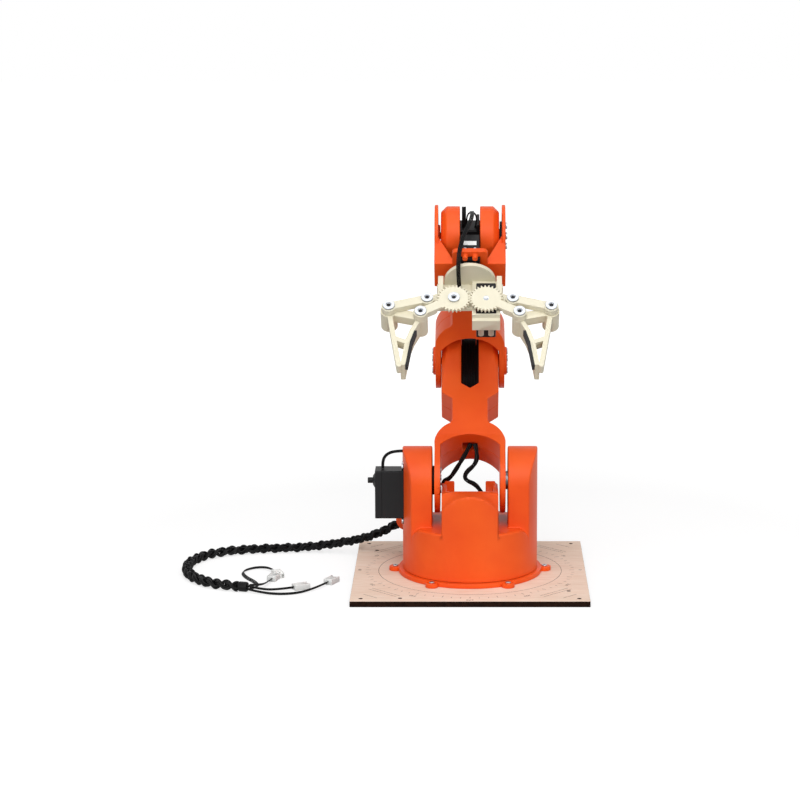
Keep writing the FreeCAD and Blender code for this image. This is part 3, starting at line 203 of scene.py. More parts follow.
def add_piece(name, bm, slot, body=None, finish=None):
    """Object from a bmesh, shaded smooth up to a sharp angle, riding on a body."""
    mesh = bpy.data.meshes.new(name)
    bm.to_mesh(mesh)
    bm.free()
    mesh.shade_smooth()
    mesh.set_sharp_from_angle(angle=smooth_limit)
    piece = bpy.data.objects.new(name, mesh)
    scene.collection.objects.link(piece)
    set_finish(piece, slot)
    if body:
        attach(piece, body)
    if finish:
        own_finish[name] = finish
    return piece


print("pieces are smooth up to", round(math.degrees(smooth_limit)), "degrees")

# %% [markdown]
# ## The plaited cable
# The servo leads leave the base as one plait of three strands. Each strand weaves from side to side
# and dives under its neighbours twice as often, which is a sine across and a sine of twice the
# angle up and down. A strand is itself three wires that twist round each other, so the plait shows
# the fine lines of its wires.

# %% Plait
cable_route = mm([
    (-59.5, 54.0, 35.0), (-68.0, 58.0, 30.0), (-77.0, 62.0, 24.0), (-94.0, 70.0, 15.5),
    (-118.0, 77.0, 9.0), (-148.0, 79.0, 4.7), (-180.0, 76.0, 4.5), (-208.0, 71.0, 4.5),
    (-230.0, 59.0, 4.5), (-244.0, 38.0, 4.5), (-248.0, 12.0, 4.5), (-243.0, -12.0, 4.5),
    (-230.0, -33.0, 4.5), (-212.0, -46.0, 4.5), (-196.0, -51.0, 4.5),
])
plait_pitch = 0.030
strand_pitch = 0.052
plait_swing = 0.0023
slack_from = 0.2
slack_swing = 0.0011
wire_twist = 0.00105
plait_wire = 0.00095


def plait_places(distance):
    """Offsets of the nine wires of the plait, which gets slack towards its far end."""
    places = []
    slack = slack_swing * max(0, distance - slack_from) / (length_of(cable_line) - slack_from)
    for strand in range(3):
        turn = math.tau * (distance / plait_pitch + strand / 3)
        centre = (plait_swing + slack) * math.sin(turn), plait_swing * math.sin(2 * turn)
        for thread in range(3):
            twist = math.tau * (distance / strand_pitch + thread / 3)
            places.append((centre[0] + wire_twist * math.cos(twist),
                           centre[1] + wire_twist * math.sin(twist)))
    return places


cable_line = smooth_line(cable_route)
plait = bundle(cable_line, plait_places, plait_wire)
cable = add_piece("plaited_cable", plait, "black_lead", "base")
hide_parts("cable_braid")
print("cable", round(length_of(cable_line) * 1000, 1), "mm")

# %% [markdown]
# ## The loose leads
# Beyond the sleeve the plait falls apart into single servo leads. Such a lead is flat: three thin
# wires side by side. They lie half on edge in loose curves, and each ends in a small connector.

# %% Leads
ribbon_half = 0.00105
ribbon_wire = 0.00052
ribbon_leans = [math.radians(degrees) for degrees in (45, 50, 40, 48)]
lead_routes = [mm(route) for route in (
    [(-188.5, -54.8, 5.9), (-177.0, -57.0, 3.6), (-164.0, -54.5, 2.5), (-150.0, -47.0, 2.5)],
    [(-188.5, -54.8, 3.1), (-176.0, -62.0, 2.0), (-160.0, -65.0, 1.4), (-143.0, -60.0, 1.4),
     (-129.0, -45.0, 2.5), (-122.0, -31.0, 2.5)],
    [(-187.0, -52.3, 5.9), (-178.0, -46.0, 4.4), (-174.0, -33.0, 2.5), (-171.0, -21.0, 2.5)],
    [(-186.9, -52.4, 3.1), (-179.0, -44.0, 1.6), (-184.0, -27.0, 1.4), (-195.0, -9.0, 1.4),
     (-199.0, 9.0, 1.4), (-188.0, 23.0, 1.4), (-174.0, 17.0, 2.5), (-169.0, 3.0, 2.5)],
)]


def ribbon_places(half, lean=0.0):
    """Function for the offsets of a flat lead's three wires, leaning over by an angle."""
    aside, upward = half * math.cos(lean), half * math.sin(lean)
    return lambda distance: [(-aside, -upward), (0, 0), (aside, upward)]


lead_lines = [smooth_line(route) for route in lead_routes]
for number, (line, lean) in enumerate(zip(lead_lines, ribbon_leans), 1):
    wires = bundle(line, ribbon_places(ribbon_half, lean), ribbon_wire)
    lead = add_piece(f"loose_lead_{number}", wires, "black_lead", "base")
    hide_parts("loose_leads")
    print(lead.name, round(length_of(line) * 1000, 1), "mm")

# %% [markdown]
# ## Leads along the arm
# Some leads stay on the arm: a short one from the shoulder servo into its tower, two that hang in
# the arch of the upper arm, and one over the wrist. Those that cross a joint have one end on each
# side of it.

# %% Leads on the arm
arm_wire = 0.00084
arm_reach = 0.00122
twist_pitch = 0.055
shoulder_half = 0.00087
shoulder_wire = 0.00045
flat_half = 0.0012
flat_wire = 0.0006
arm_up = Vector((0, -1, 0))
wrist_up = Vector((0, -1, 0.6))


def rope_places(distance):
    """Offsets of four wires that twist slowly round each other."""
    turn = math.tau * distance / twist_pitch
    return [(arm_reach * math.cos(turn + quarter * math.pi / 2),
             arm_reach * math.sin(turn + quarter * math.pi / 2)) for quarter in range(4)]


arm_routes = [mm(route) for route in (
    [(0.8, 22.6, 112.4), (-6.0, 20.0, 100.0), (-13.0, 20.5, 88.5), (-17.5, 21.5, 81.5),
     (-24.0, 25.0, 78.0), (-21.5, 29.0, 68.0), (-19.0, 29.5, 60.0), (-19.0, 31.0, 45.2)],
    [(4.4, 22.0, 112.2), (6.6, 18.5, 103.0), (4.5, 16.0, 95.0), (-4.0, 15.0, 88.0),
     (-4.5, 13.5, 82.0), (6.0, 10.0, 78.5), (12.0, 7.0, 68.0), (12.0, 4.5, 51.0)],
)]
for number, route in enumerate(arm_routes, 1):
    line = smooth_line(route)
    wires = bundle(line, rope_places, arm_wire, arm_up)
    lead = add_piece(f"arm_lead_{number}", wires, "black_lead")
    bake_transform(lead)
    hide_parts("arm_leads")
    print(lead.name, round(length_of(line) * 1000, 1), "mm")

wrist_route = mm([
    (1.5, 41.2, 312.5), (2.2, 28.4, 312.9), (0.8, 14.5, 308.0), (-5.0, 2.0, 298.0),
    (-8.8, -8.6, 287.1), (-10.0, -12.9, 275.0), (-9.6, -9.1, 261.2), (-9.0, 0.0, 250.3),
])
wrist_line = smooth_line(wrist_route)
wires = bundle(wrist_line, ribbon_places(flat_half), flat_wire, wrist_up)
wrist_lead = add_piece("wrist_lead_wires", wires, "black_lead")
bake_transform(wrist_lead)
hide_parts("wrist_lead")

shoulder_route = mm([(-75.0, 0.0, 95.4), (-75.5, 0.0, 102.5), (-70.8, 0.0, 109.0),
                     (-61.5, 0.0, 110.9), (-52.3, 0.0, 110.8)])
shoulder_line = smooth_line(shoulder_route)
wires = bundle(shoulder_line, ribbon_places(shoulder_half), shoulder_wire, arm_up)
shoulder_lead = add_piece("shoulder_lead_wires", wires, "black_lead", "turret")
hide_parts("shoulder_lead")
print("wrist lead", round(length_of(wrist_line) * 1000, 1), "mm, shoulder lead",
      round(length_of(shoulder_line) * 1000, 1), "mm")

# %% [markdown]
# ## Leads that stay on one link
# Each servo has a lead of its own. The elbow servo's slot is full of them: three flat leads come
# out of its upper end, bend over and run down the slot in front of it. At the wrist one lead stands
# up in a fold between the drums, and another bows from side to side.

# %% Leads of the servos
slot_pitch = 0.0041
slot_half = 0.00135
slot_wire = 0.0007
slot_offsets = [lead * slot_pitch + wire * slot_half for lead in (-1, 0, 1) for wire in (-1, 0, 1)]
fold_offsets = [-flat_half, 0, flat_half]
across_arm = Vector((1, 0, 0))
slot_route = mm([
    (-1.0, 92.3, 181.5), (-1.0, 95.8, 185.1), (-1.0, 96.9, 189.6), (-1.0, 93.3, 193.2),
    (-1.0, 88.3, 191.1), (-1.0, 81.6, 184.4), (-1.0, 68.9, 171.7), (-1.0, 59.7, 162.5),
    (-1.0, 58.3, 154.7), (-1.0, 56.6, 147.2), (-1.0, 53.0, 142.3),
])
fold_route = mm([(-5.2, 39.0, 297.0), (-5.2, 36.6, 305.0), (-5.2, 36.8, 314.0), (-5.2, 40.5, 317.2),
                 (-5.2, 44.0, 313.5), (-5.2, 45.5, 306.0), (-5.2, 45.5, 299.0)])
bow_route = mm([(4.0, 40.0, 298.0), (6.2, 38.5, 305.0), (4.4, 37.5, 312.0), (-1.4, 38.5, 312.0),
                (-3.2, 40.5, 305.5), (-2.6, 42.0, 299.0)])


def side_by_side(offsets):
    """Function for the offsets of wires that lie side by side across a line."""
    return lambda distance: [(0, offset) for offset in offsets]


for name, route, offsets, radius, up, body in (
        ("elbow_slot_leads", slot_route, slot_offsets, slot_wire, across_arm, "upper_arm"),
        ("wrist_fold_lead", fold_route, fold_offsets, flat_wire, across_arm, "forearm"),
        ("wrist_bow_lead", bow_route, fold_offsets, flat_wire, arm_up, "forearm")):
    wires = bundle(smooth_line(route), side_by_side(offsets), radius, up)
    print(add_piece(name, wires, "black_lead", body).name)

# %% [markdown]
# ## Softened copies of the solids
# A moulded edge is never razor sharp: it catches a thin line of light. A copy of the solid is
# welded, its flat triangles are joined again into whole faces, and every edge sharper than a limit
# gets a small round bevel. Where a rim is too thin for its bevels, the face between them would fold
# over itself. The bevel is then made again, and that face keeps its sharp edges.

# %% Bevels
weld_distance = 2e-6
flat_angle = math.radians(0.5)
sharp_angle = math.radians(28)
bevel_steps = 2
bevel_room = 1.5
fold_limit = 5e-8


def welded(node):
    """Bmesh copy of a solid with whole faces instead of loose triangles."""
    bm = bmesh.new()
    bm.from_mesh(nodes[node].data)
    bmesh.ops.remove_doubles(bm, verts=bm.verts, dist=weld_distance)
    bmesh.ops.dissolve_limit(bm, angle_limit=flat_angle, verts=bm.verts, edges=bm.edges)
    return bm


def bevel_edges(bm, width, shortest, sharp_faces=()):
    """Rounds the sharp edges that are long enough and have room, but not those of sharp_faces."""
    bm.faces.index_update()
    edges = []
    for edge in bm.edges:
        if len(edge.link_faces) != 2 or edge.calc_face_angle(0) < sharp_angle:
            continue
        if any(face.index in sharp_faces for face in edge.link_faces):
            continue
        room = min(face.calc_area() for face in edge.link_faces) / edge.calc_length()
        if room > width * bevel_room and edge.calc_length() > shortest:
            edges.append(edge)
    bmesh.ops.bevel(bm, geom=edges, offset=width, offset_type="OFFSET", segments=bevel_steps,
                    profile=0.5, affect="EDGES", clamp_overlap=False, material=-1)


def folded_faces(bm):
    """Numbers of the faces that a bevel has folded: some of their triangles look backwards."""
    bm.normal_update()
    number = bm.faces.layers.int["number"]
    folded = set()
    for loops in bm.calc_loop_triangles():
        a, b, c = (loop.vert.co for loop in loops)
        if (b - a).cross(c - a).dot(loops[0].face.normal) < -fold_limit:
            folded.add(loops[0].face[number])
    return folded


def bevelled(node, width, shortest):
    """Bmesh copy of a solid with round edges. A face that folds is left sharp at the next try."""
    sharp_faces = set()
    while True:
        bm = welded(node)
        number = bm.faces.layers.int.new("number")
        for i, face in enumerate(bm.faces):
            face[number] = i
        bevel_edges(bm, width, shortest, sharp_faces)
        folded = folded_faces(bm) - sharp_faces
        bm.faces.layers.int.remove(bm.faces.layers.int["number"])
        if not folded:
            return bm
        sharp_faces |= folded
        bm.free()


print("edges over", round(math.degrees(sharp_angle)), "degrees are rounded")

# %% [markdown]
# ## A copy stands for its solid
# The solid itself stays in place for collisions, and the copy is what shows. Its large faces keep
# flat shading, because the normals are weighted by the size of the faces. The turret's tall round
# wall is cut into level bands, so that its shade stays even beside an edge.

# %% Copies
band_pitch = 0.004
wall_reach = 0.048
wall_lean = 0.2


def cut_bands(bm):
    """Level cuts that part the tall faces of the round wall, which lies far from the axis."""
    for i in range(1, int(max(vert.co.z for vert in bm.verts) / band_pitch)):
        wall = [face for face in bm.faces if abs(face.normal.z) < wall_lean
                and face.calc_center_median().xy.length > wall_reach]
        edges = dict.fromkeys(edge for face in wall for edge in face.edges)
        verts = dict.fromkeys(vert for face in wall for vert in face.verts)
        bmesh.ops.bisect_plane(bm, geom=[*verts, *edges, *wall], dist=weld_distance,
                               plane_co=(0, 0, i * band_pitch), plane_no=(0, 0, 1))


def soften(node, width, shortest):
    """Piece with rounded edges that stands for a solid."""
    bm = bevelled(node, width, shortest)
    if node == "turret_shell":
        cut_bands(bm)
    piece = add_piece(node + "_moulded", bm, node_slot[node], node_body[node])
    normals = piece.modifiers.new("flat faces", "WEIGHTED_NORMAL")
    normals.keep_sharp = True
    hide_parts(node)
    return piece


print("bands are", band_pitch * 1000, "mm high")

# %% [markdown]
# ## How round each part is
# Large mouldings have the roundest edges, and gears and screws the finest. Where a part has tiny
# facets, edges shorter than a limit stay sharp, because a bevel would tangle there.

# %% Softened parts
softened = (
    (0.0010, 0.0, ["turret_shell"]),
    (0.0007, 0.0, ["upper_arm_front", "upper_arm_back", "forearm_front", "forearm_back",
                   "base_ring", "hand_bracket"]),
    (0.0005, 0.0, ["right_finger", "left_finger", "right_link", "left_link", "roll_flange",
                   "elbow_discs", "cable_gland", "shoulder_servo_lid", "elbow_servo_lid",
                   "wrist_servo_lid", "roll_servo_lid", "gripper_servo_lid"]),
    (0.0003, 0.0, ["base_plate", "right_pad", "left_pad"]),
    (0.00015, 0.0, ["right_gear_arm", "left_gear_arm"]),
    (0.00025, 0.001, ["palm_frame"]),
    (0.0004, 0.002, [node for node in sorted(nodes) if node.endswith("servo_case")]),
    (0.0003, 0.0, [node for node in sorted(nodes) if "screw" in node]),
)
for width, shortest, names in softened:
    for node in names:
        piece = soften(node, width, shortest)
        print(piece.name, len(piece.data.polygons))

# %% [markdown]
# ## Sockets of the screws, with painted shade
# A screw's head has a round dimple with a six-sided socket in it, which is in shadow. The dimple's
# floor is the flat face inside the head that looks outward. A thin dark hexagon is laid on it:
# painted shade that stands for the shadowed socket.

# %% Screw sockets
socket_share = 0.86
socket_rise = 0.0001
socket_sides = 6
floor_corners = 8
dimple_deepest = 0.003


def solids_of(bm):
    """Groups of linked vertices, one group for each separate solid."""
    found = set()
    groups = []
    for first in bm.verts:
        if first in found:
            continue
        found.add(first)
        group = [first]
        for vert in group:
            for edge in vert.link_edges:
                other = edge.other_vert(vert)
                if other not in found:
                    found.add(other)
                    group.append(other)
        groups.append(group)
    return groups


def dimple_floor(group):
    """Floor of the dimple in a screw: the flat face with a little of the screw's solid above it."""
    faces = dict.fromkeys(face for vert in group for face in vert.link_faces)
    for face in sorted(faces, key=lambda face: -face.calc_area()):
        centre = face.calc_center_median()
        above = max((vert.co - centre).dot(face.normal) for vert in group)
        if len(face.verts) > floor_corners and socket_rise < above < dimple_deepest:
            return face
    return None


def add_socket(bm, centre, normal, radius):
    """Thin dark hexagon on the floor of a dimple: painted shade of the socket."""
    turn = normal.to_track_quat("Z", "Y").to_matrix().to_4x4()
    place = Matrix.Translation(centre + normal * socket_rise / 2)
    bmesh.ops.create_cone(bm, cap_ends=True, segments=socket_sides, radius1=radius, radius2=radius,
                          depth=socket_rise, matrix=place @ turn)


for node in sorted(nodes):
    if "screw" not in node:
        continue
    solids = welded(node)
    bm = bmesh.new()
    for group in solids_of(solids):
        floor_face = dimple_floor(group)
        if floor_face:
            centre = floor_face.calc_center_median()
            reach = max((vert.co - centre).length for vert in floor_face.verts)
            add_socket(bm, centre, floor_face.normal, reach * socket_share)
    solids.free()
    print(node, "sockets", len(bm.verts) // (2 * socket_sides))
    # The dark hexagons are painted shade, dressed in the dark finish socket_shadow.
    add_piece(node + "_sockets", bm, "steel", node_body[node], "socket_shadow")

# %% [markdown]
# ## A plain label
# The roll servo's upper end carries a white label. It is blank here: a thin plate that lies on the
# end face, which leans forward with the hand.

# %% Label
label_size = (0.0110, 0.0046, 0.00012)
label_middle = (0.0, 0.0082, 0.2896)
hand_dip = math.radians(40)

bm = bmesh.new()
place = Matrix.Translation(label_middle) @ Matrix.Rotation(hand_dip, 4, "X")
bmesh.ops.create_cube(bm, size=1, matrix=place @ Matrix.Diagonal((*label_size, 1)))
label = add_piece("servo_label", bm, "white_plastic", node_body["roll_servo_case"])
print(label.name, len(label.data.polygons), "faces")

# %% [markdown]
# ## Sleeve and connectors
# The sleeve that holds the end of the plait is soft, so its rims are rounder. The four connectors
# are one node of four solids. Each is taken out as a piece of its own, because each belongs to the
# lead that it ends, and gets three sockets: its end face is cut in three, inset and pushed in.

# %% Sleeve and connectors
sleeve_edge = 0.0012
plug_edge = 0.0004
plug_shortest = 0.004
socket_wall = 0.0006
socket_deep = 0.003
same_way = 0.999

sleeve = soften("cable_tie", sleeve_edge, 0.0)


def nearest_solid(node, place):
    """Bmesh of the one solid of a node that lies nearest to a place."""
    bm = welded(node)
    groups = solids_of(bm)
    groups.sort(key=lambda group: min((vert.co - place).length for vert in group))
    others = [vert for group in groups[1:] for vert in group]
    bmesh.ops.delete(bm, geom=others, context="VERTS")
    return bm


def cut_sockets(bm, way):
    """Three deep sockets in the end face of a connector."""
    end = max(bm.faces, key=lambda face: face.normal.dot(way))
    rails = sorted(end.edges, key=lambda edge: edge.calc_length())[-2:]
    facing = end.normal.copy()
    bmesh.ops.subdivide_edges(bm, edges=rails, cuts=2)
    cells = [face for face in bm.faces if face.normal.dot(facing) > same_way]
    bmesh.ops.inset_individual(bm, faces=cells, thickness=socket_wall, depth=0.0)
    bmesh.ops.inset_individual(bm, faces=cells, thickness=0.0, depth=-socket_deep)


for number, route in enumerate(lead_routes, 1):
    bm = nearest_solid("lead_plugs", route[-1])
    way = (route[-1] - route[-2]).normalized()
    cut_sockets(bm, way)
    bevel_edges(bm, plug_edge, plug_shortest)
    plug = add_piece(f"connector_{number}", bm, "white_plastic", "base")
    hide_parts("lead_plugs")

# %% [markdown]
# ## Marks on the plate
# The wooden plate is engraved by a laser. Each mark is a very thin solid that lies on the wood, so
# it is there in the mesh too and not only painted on. A mark is a bar, a circle or a plain number.

# %% Marks
plate_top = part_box("base_plate")[1].z
mark_rise = 0.00005
circle_steps = 180
number_radius = 0.0955
number_high = 0.0042
number_curve = 2


def ray(radius, angle):
    """Point on the plate at a distance and an angle from its middle."""
    return radius * math.cos(angle), radius * math.sin(angle)


def add_bar(bm, start, end, width):
    """Thin flat bar between two points on the plate."""
    start, end = Vector((*start, 0)), Vector((*end, 0))
    made = bmesh.ops.create_cube(bm, size=1)
    way = end - start
    turn = Matrix.Rotation(math.atan2(way.y, way.x), 4, "Z")
    size = Matrix.Diagonal((way.length, width, mark_rise, 1))
    place = Matrix.Translation((start + end) / 2 + Vector((0, 0, plate_top + mark_rise / 2)))
    bmesh.ops.transform(bm, matrix=place @ turn @ size, verts=made["verts"])


def add_circle(bm, radius, width):
    """Thin ring on the plate, spun from a small rectangle."""
    low = plate_top
    corners = [(radius - width / 2, 0, low), (radius + width / 2, 0, low),
               (radius + width / 2, 0, low + mark_rise), (radius - width / 2, 0, low + mark_rise)]
    verts = [bm.verts.new(corner) for corner in corners]
    edges = [bm.edges.new((a, b)) for a, b in zip(verts, verts[1:] + verts[:1])]
    bmesh.ops.spin(bm, geom=verts + edges, cent=(0, 0, 0), axis=(0, 0, 1), angle=math.tau,
                   steps=circle_steps, use_merge=True)


def add_number(bm, text, angle):
    """Number on the scale, read from the middle of the plate."""
    data = bpy.data.curves.new("number", "FONT")
    data.body = text
    data.size = number_high
    data.extrude = mark_rise / 2
    data.align_x = "CENTER"
    data.align_y = "CENTER"
    data.resolution_u = number_curve
    drawn = bpy.data.objects.new("number", data)
    scene.collection.objects.link(drawn)
    mesh = bpy.data.meshes.new_from_object(drawn)
    bpy.data.objects.remove(drawn)
    bpy.data.curves.remove(data)
    place = Matrix.Translation((*ray(number_radius, angle), plate_top + mark_rise / 2))
    mesh.transform(place @ Matrix.Rotation(angle - math.pi / 2, 4, "Z"))
    bm.from_mesh(mesh)
    bpy.data.meshes.remove(mesh)


print("marks lie at", round(plate_top * 1000, 2), "mm")

# %% [markdown]
# ## The dial
# A fine circle runs round the turret. Outside it is a scale with a tick at every fifth degree, a
# long one at every fifteenth and a number at every thirtieth. A few ruled lines cross each corner.

# %% Dial
line_width = 0.0004
dial_radius = 0.0792
scale_radius = 0.0905
long_tick, short_tick = 0.0045, 0.0025
tick_step, long_step, number_step = 5, 15, 30
ruled_lines = ((0.100, 0.017), (0.104, 0.017), (0.118, 0.008))

bm = bmesh.new()
add_circle(bm, dial_radius, line_width)
for degrees in range(0, 360, tick_step):
    angle = math.radians(degrees)
    tick = short_tick if degrees % long_step else long_tick
    add_bar(bm, ray(scale_radius - tick, angle), ray(scale_radius, angle), line_width)
    if degrees % number_step == 0:
        add_number(bm, str(degrees), angle)
for corner in range(4):
    angle = math.radians(45 + 90 * corner)
    aside = Vector((-math.sin(angle), math.cos(angle)))
    for reach, half in ruled_lines:
        middle = Vector(ray(reach, angle))
        add_bar(bm, middle - aside * half, middle + aside * half, line_width)
bmesh.ops.recalc_face_normals(bm, faces=bm.faces)
dial = add_piece("dial_marks", bm, "wood_plate", "base", "burnt_mark")
print("dial", len(dial.data.polygons), "faces")

# %% [markdown]
# ## Finishes
# A finish is a principled shader with a little life in it. Slow clouds of noise vary the colour, a
# fine grain varies the gloss and lifts the surface by a few hundredths of a millimetre. All the
# patterns read object coordinates, so they stay where they are when the arm moves.

# %% Finish helpers
finishes = {}
ramp_low, ramp_high = 0.3, 0.7


def new_finish(name, values):
    """Material whose constant values are set on the shader's own sockets."""
    material = bpy.data.materials.new(name)
    material.use_nodes = True
    shader = material.node_tree.nodes["Principled BSDF"]
    for socket, value in values.items():
        shader.inputs[socket].default_value = value
    finishes[name] = material
    return material, shader


def add_node(material, kind, inputs=None, **settings):
    """Node whose inputs are linked where a socket is given and set where a value is."""
    node = material.node_tree.nodes.new(kind)
    for setting, value in settings.items():
        setattr(node, setting, value)
    for socket, value in (inputs or {}).items():
        if isinstance(value, bpy.types.NodeSocket):
            material.node_tree.links.new(value, node.inputs[socket])
        else:
            node.inputs[socket].default_value = value
    return node


def noise(material, scale, detail=2.0, stretch=(1, 1, 1)):
    """Noise on object coordinates, in features per metre."""
    place = add_node(material, "ShaderNodeTexCoord").outputs["Object"]
    mapped = add_node(material, "ShaderNodeMapping", {"Vector": place, "Scale": stretch})
    texture = add_node(material, "ShaderNodeTexNoise",
                       {"Vector": mapped.outputs["Vector"], "Scale": scale, "Detail": detail})
    return texture.outputs["Fac"]


def shades(material, factor, colours):
    """Colour ramp with its stops at even steps from dark to light."""
    node = add_node(material, "ShaderNodeValToRGB", {"Fac": factor})
    stops = node.color_ramp.elements
    stops[0].position, stops[1].position = ramp_low, ramp_high
    stops[0].color, stops[1].color = (*colours[0], 1), (*colours[-1], 1)
    for i, colour in enumerate(colours[1:-1], 1):
        share = i / (len(colours) - 1)
        stops.new(ramp_low + (ramp_high - ramp_low) * share).color = (*colour, 1)
    return node.outputs["Color"]


def spread_of(material, factor, low, high):
    """Value that goes from low to high with a factor."""
    node = add_node(material, "ShaderNodeMapRange",
                    {"Value": factor, "To Min": low, "To Max": high})
    return node.outputs["Result"]


def grain(material, shader, factor, strength, depth):
    """Fine relief on a shader's normal."""
    bump = add_node(material, "ShaderNodeBump",
                    {"Height": factor, "Strength": strength, "Distance": depth})
    material.node_tree.links.new(bump.outputs["Normal"], shader.inputs["Normal"])


def join(material, socket, shader, name):
    """Links a value into one of the shader's sockets."""
    material.node_tree.links.new(socket, shader.inputs[name])


print("helpers ready")

# %% [markdown]
# ## Plastics
# The mouldings, cords, pads and connectors share one recipe. Each row gives a finish its darkest
# and lightest colour, its range of roughness, the fineness and the depth of its grain, and how much
# it mirrors. The burnt marks and the shadow in the sockets use it too.

# %% Plastics
cloud_scale = 22
plastic_grain = 0.25


def plastic(name, dark, light, roughness, fineness, depth, mirror):
    """Moulded plastic: slow colour clouds, fine grain in gloss and relief."""
    material, shader = new_finish(name, {"Specular IOR Level": mirror})
    clouds = noise(material, cloud_scale, 3)
    join(material, shades(material, clouds, (dark, light)), shader, "Base Color")
    fine = noise(material, fineness, 2)
    join(material, spread_of(material, fine, *roughness), shader, "Roughness")
    grain(material, shader, fine, plastic_grain, depth)


for row in (
        ("orange_plastic", (0.78, 0.074, 0.007), (0.86, 0.106, 0.011),
         (0.36, 0.50), 1900, 0.00004, 0.22),
        ("ivory_plastic", (0.735, 0.685, 0.52), (0.77, 0.725, 0.575),
         (0.40, 0.54), 1600, 0.00004, 0.25),
        ("black_plastic", (0.004, 0.004, 0.0045), (0.009, 0.009, 0.010),
         (0.40, 0.58), 1500, 0.00006, 0.2),
        ("white_plastic", (0.74, 0.75, 0.74), (0.82, 0.82, 0.80),
         (0.34, 0.46), 1500, 0.00003, 0.4),
        ("pad_rubber", (0.018, 0.018, 0.019), (0.032, 0.032, 0.034),
         (0.66, 0.84), 900, 0.00012, 0.25),
        ("black_lead", (0.0015, 0.0015, 0.0018), (0.005, 0.005, 0.0055),
         (0.36, 0.50), 700, 0.00005, 0.14),
        # Painted shade: the dark finish of the hexagons laid in the screws' sockets.
        ("socket_shadow", (0.010, 0.010, 0.011), (0.020, 0.020, 0.022),
         (0.6, 0.8), 1500, 0.00003, 0.2),
        ("burnt_mark", (0.11, 0.055, 0.03), (0.18, 0.10, 0.06),
         (0.7, 0.9), 1200, 0.00003, 0.5)):
    plastic(*row)
print("plastics", len(finishes))

# %% [markdown]
# ## Steel and wood
# The screws are zinc plated, so they are bright and a little streaky. The plate is pale plywood cut
# by a laser: its top shows long fine grain, and its cut edges are burnt nearly black.

# %% Steel and wood
steel_shades = ((0.36, 0.38, 0.41), (0.52, 0.54, 0.57))
wood_shades = ((0.84, 0.63, 0.49), (0.92, 0.74, 0.61), (0.95, 0.80, 0.69))
cloud_shades = ((0.92, 0.90, 0.88), (1.0, 1.0, 1.0))
burnt_shades = ((0.006, 0.002, 0.001), (0.022, 0.008, 0.004))
steel_gloss = (0.28, 0.44)
wood_gloss = (0.55, 0.8)
steel_stretch = (1, 1, 6)
fibre_stretch = (1, 14, 14)
cloud_stretch = (1, 4, 4)
edge_level, top_level = 0.55, 0.9

material, shader = new_finish("steel", {"Metallic": 1.0})
streaks = noise(material, 500, 3, steel_stretch)
join(material, shades(material, streaks, steel_shades), shader, "Base Color")
join(material, spread_of(material, noise(material, 900, 2), *steel_gloss), shader, "Roughness")
grain(material, shader, streaks, 0.15, 0.00002)

material, shader = new_finish("wood_plate", {"Specular IOR Level": 0.06})
fibres = noise(material, 60, 5, fibre_stretch)
clouds = noise(material, 9, 2, cloud_stretch)
wood = shades(material, fibres, wood_shades)
pale = shades(material, clouds, cloud_shades)
toned = add_node(material, "ShaderNodeMix", {"Factor": 1.0, "A": wood, "B": pale},
                 data_type="RGBA", blend_type="MULTIPLY").outputs["Result"]
upright = add_node(material, "ShaderNodeSeparateXYZ",
                   {"Vector": add_node(material, "ShaderNodeTexCoord").outputs["Normal"]})
level = add_node(material, "ShaderNodeMath", {0: upright.outputs["Z"]}, operation="ABSOLUTE")
flat = add_node(material, "ShaderNodeMapRange",
                {"Value": level.outputs["Value"], "From Min": edge_level, "From Max": top_level})
burnt = shades(material, noise(material, 300, 3), burnt_shades)
cut = add_node(material, "ShaderNodeMix",
               {"Factor": flat.outputs["Result"], "A": burnt, "B": toned}, data_type="RGBA")
join(material, cut.outputs["Result"], shader, "Base Color")
join(material, spread_of(material, fibres, *wood_gloss), shader, "Roughness")
grain(material, shader, fibres, 0.2, 0.0001)
print("steel and wood")

# %% [markdown]
# ## Dressing the parts
# A piece with a finish of its own gets that one: the dial's marks are burnt, and the sockets of the
# screws lie in shadow. Any other piece gets the finish of its slot, and a solid that shows as it is
# takes the finish that its record names.

# %% Dressing
for piece in list(scene.objects):
    if piece.type != "MESH":
        continue
    name = own_finish.get(piece.name) or piece.get("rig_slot") or node_slot[piece["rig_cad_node"]]
    piece.data.materials.clear()
    piece.data.materials.append(finishes[name])
print("finishes", sorted(finishes))

# %% [markdown]
# ## The floor and the light
# The arm stands on white paper under large soft lamps. The floor is white to the camera and keeps
# the arm's soft shadow. The sky is white to the camera and in reflections, and lights gently.

# %% Floor
floor_half = 6.0

bm = bmesh.new()
bmesh.ops.create_grid(bm, x_segments=1, y_segments=1, size=floor_half)
mesh = bpy.data.meshes.new("floor")
bm.to_mesh(mesh)
bm.free()
floor = bpy.data.objects.new("floor", mesh)
scene.collection.objects.link(floor)
print("floor", 2 * floor_half, "m wide")

# %% [markdown]
# ## White paper and white sky
# The paper is a white diffuse surface that takes the shadow. For the rays that the eye follows it
# also glows a little, more so far from the arm, so that it fades into the white sky.

# %% Paper and sky
paper_near, paper_far = 0.70, 1.0
paper_fade = (0.35, 1.0)
paper_shade = 0.38
sky_light = 0.25


def seen(material):
    """Is 1 for rays that the eye follows: from the camera, mirrored or through glass."""
    path = add_node(material, "ShaderNodeLightPath").outputs
    first = add_node(material, "ShaderNodeMath",
                     {0: path["Is Camera Ray"], 1: path["Is Glossy Ray"]}, operation="MAXIMUM")
    both = add_node(material, "ShaderNodeMath",
                    {0: first.outputs["Value"], 1: path["Is Transmission Ray"]},
                    operation="MAXIMUM")
    return both.outputs["Value"]


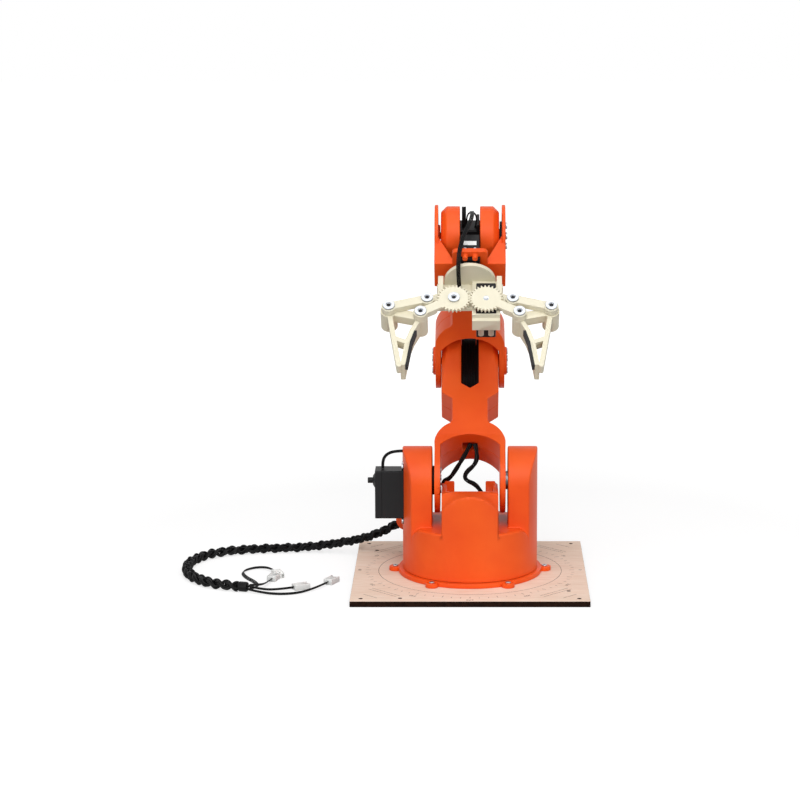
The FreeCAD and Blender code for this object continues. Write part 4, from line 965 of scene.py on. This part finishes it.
paper = bpy.data.materials.new("paper")
paper.use_nodes = True
paper.node_tree.nodes.clear()
place = add_node(paper, "ShaderNodeTexCoord").outputs["Object"]
distance = add_node(paper, "ShaderNodeVectorMath", {0: place}, operation="LENGTH")
glow = add_node(paper, "ShaderNodeMapRange",
                {"Value": distance.outputs["Value"], "From Min": paper_fade[0],
                 "From Max": paper_fade[1], "To Min": paper_near, "To Max": paper_far})
shown = add_node(paper, "ShaderNodeMath", {0: glow.outputs["Result"], 1: seen(paper)},
                 operation="MULTIPLY")
white = add_node(paper, "ShaderNodeEmission", {"Strength": shown.outputs["Value"]})
matte = add_node(paper, "ShaderNodeBsdfDiffuse",
                 {"Color": (paper_shade, paper_shade, paper_shade, 1)})
mixed = add_node(paper, "ShaderNodeAddShader",
                 {0: matte.outputs["BSDF"], 1: white.outputs["Emission"]})
add_node(paper, "ShaderNodeOutputMaterial", {"Surface": mixed.outputs["Shader"]})
floor.data.materials.append(paper)

sky = bpy.data.worlds.new("sky")
sky.use_nodes = True
sky.node_tree.nodes.clear()
strength = add_node(sky, "ShaderNodeMapRange",
                    {"Value": seen(sky), "To Min": sky_light, "To Max": 1.0})
white = add_node(sky, "ShaderNodeBackground",
                 {"Color": (1, 1, 1, 1), "Strength": strength.outputs["Result"]})
add_node(sky, "ShaderNodeOutputWorld", {"Surface": white.outputs["Background"]})
scene.world = sky
print("paper and sky")

# %% [markdown]
# ## The lamps
# A large lamp high in front, one above and two lower ones in front at the sides give soft light. It
# is plain: a pale surface stays below white, so a colour renders about as it is written.

# %% Lamps
lamp_rows = (
    ("key_box", (0.0, -1.7, 1.45), 1.6, 28),
    ("top_box", (0.0, -0.2, 1.7), 1.2, 7.5),
    ("left_box", (-1.3, -1.4, 0.5), 1.2, 8),
    ("right_box", (1.3, -1.4, 0.5), 1.2, 8),
)
lamp_target = Vector((0, 0, 0.15))


def add_lamp(name, place, size, power):
    """Square soft lamp that faces the arm."""
    data = bpy.data.lights.new(name, "AREA")
    data.shape = "SQUARE"
    data.size = size
    data.energy = power
    lamp = bpy.data.objects.new(name, data)
    lamp.location = place
    way = lamp_target - Vector(place)
    lamp.rotation_euler = way.to_track_quat("-Z", "Y").to_euler()
    scene.collection.objects.link(lamp)


for row in lamp_rows:
    add_lamp(*row)
print("lamps", len(lamp_rows))

scene.view_settings.view_transform = "Standard"
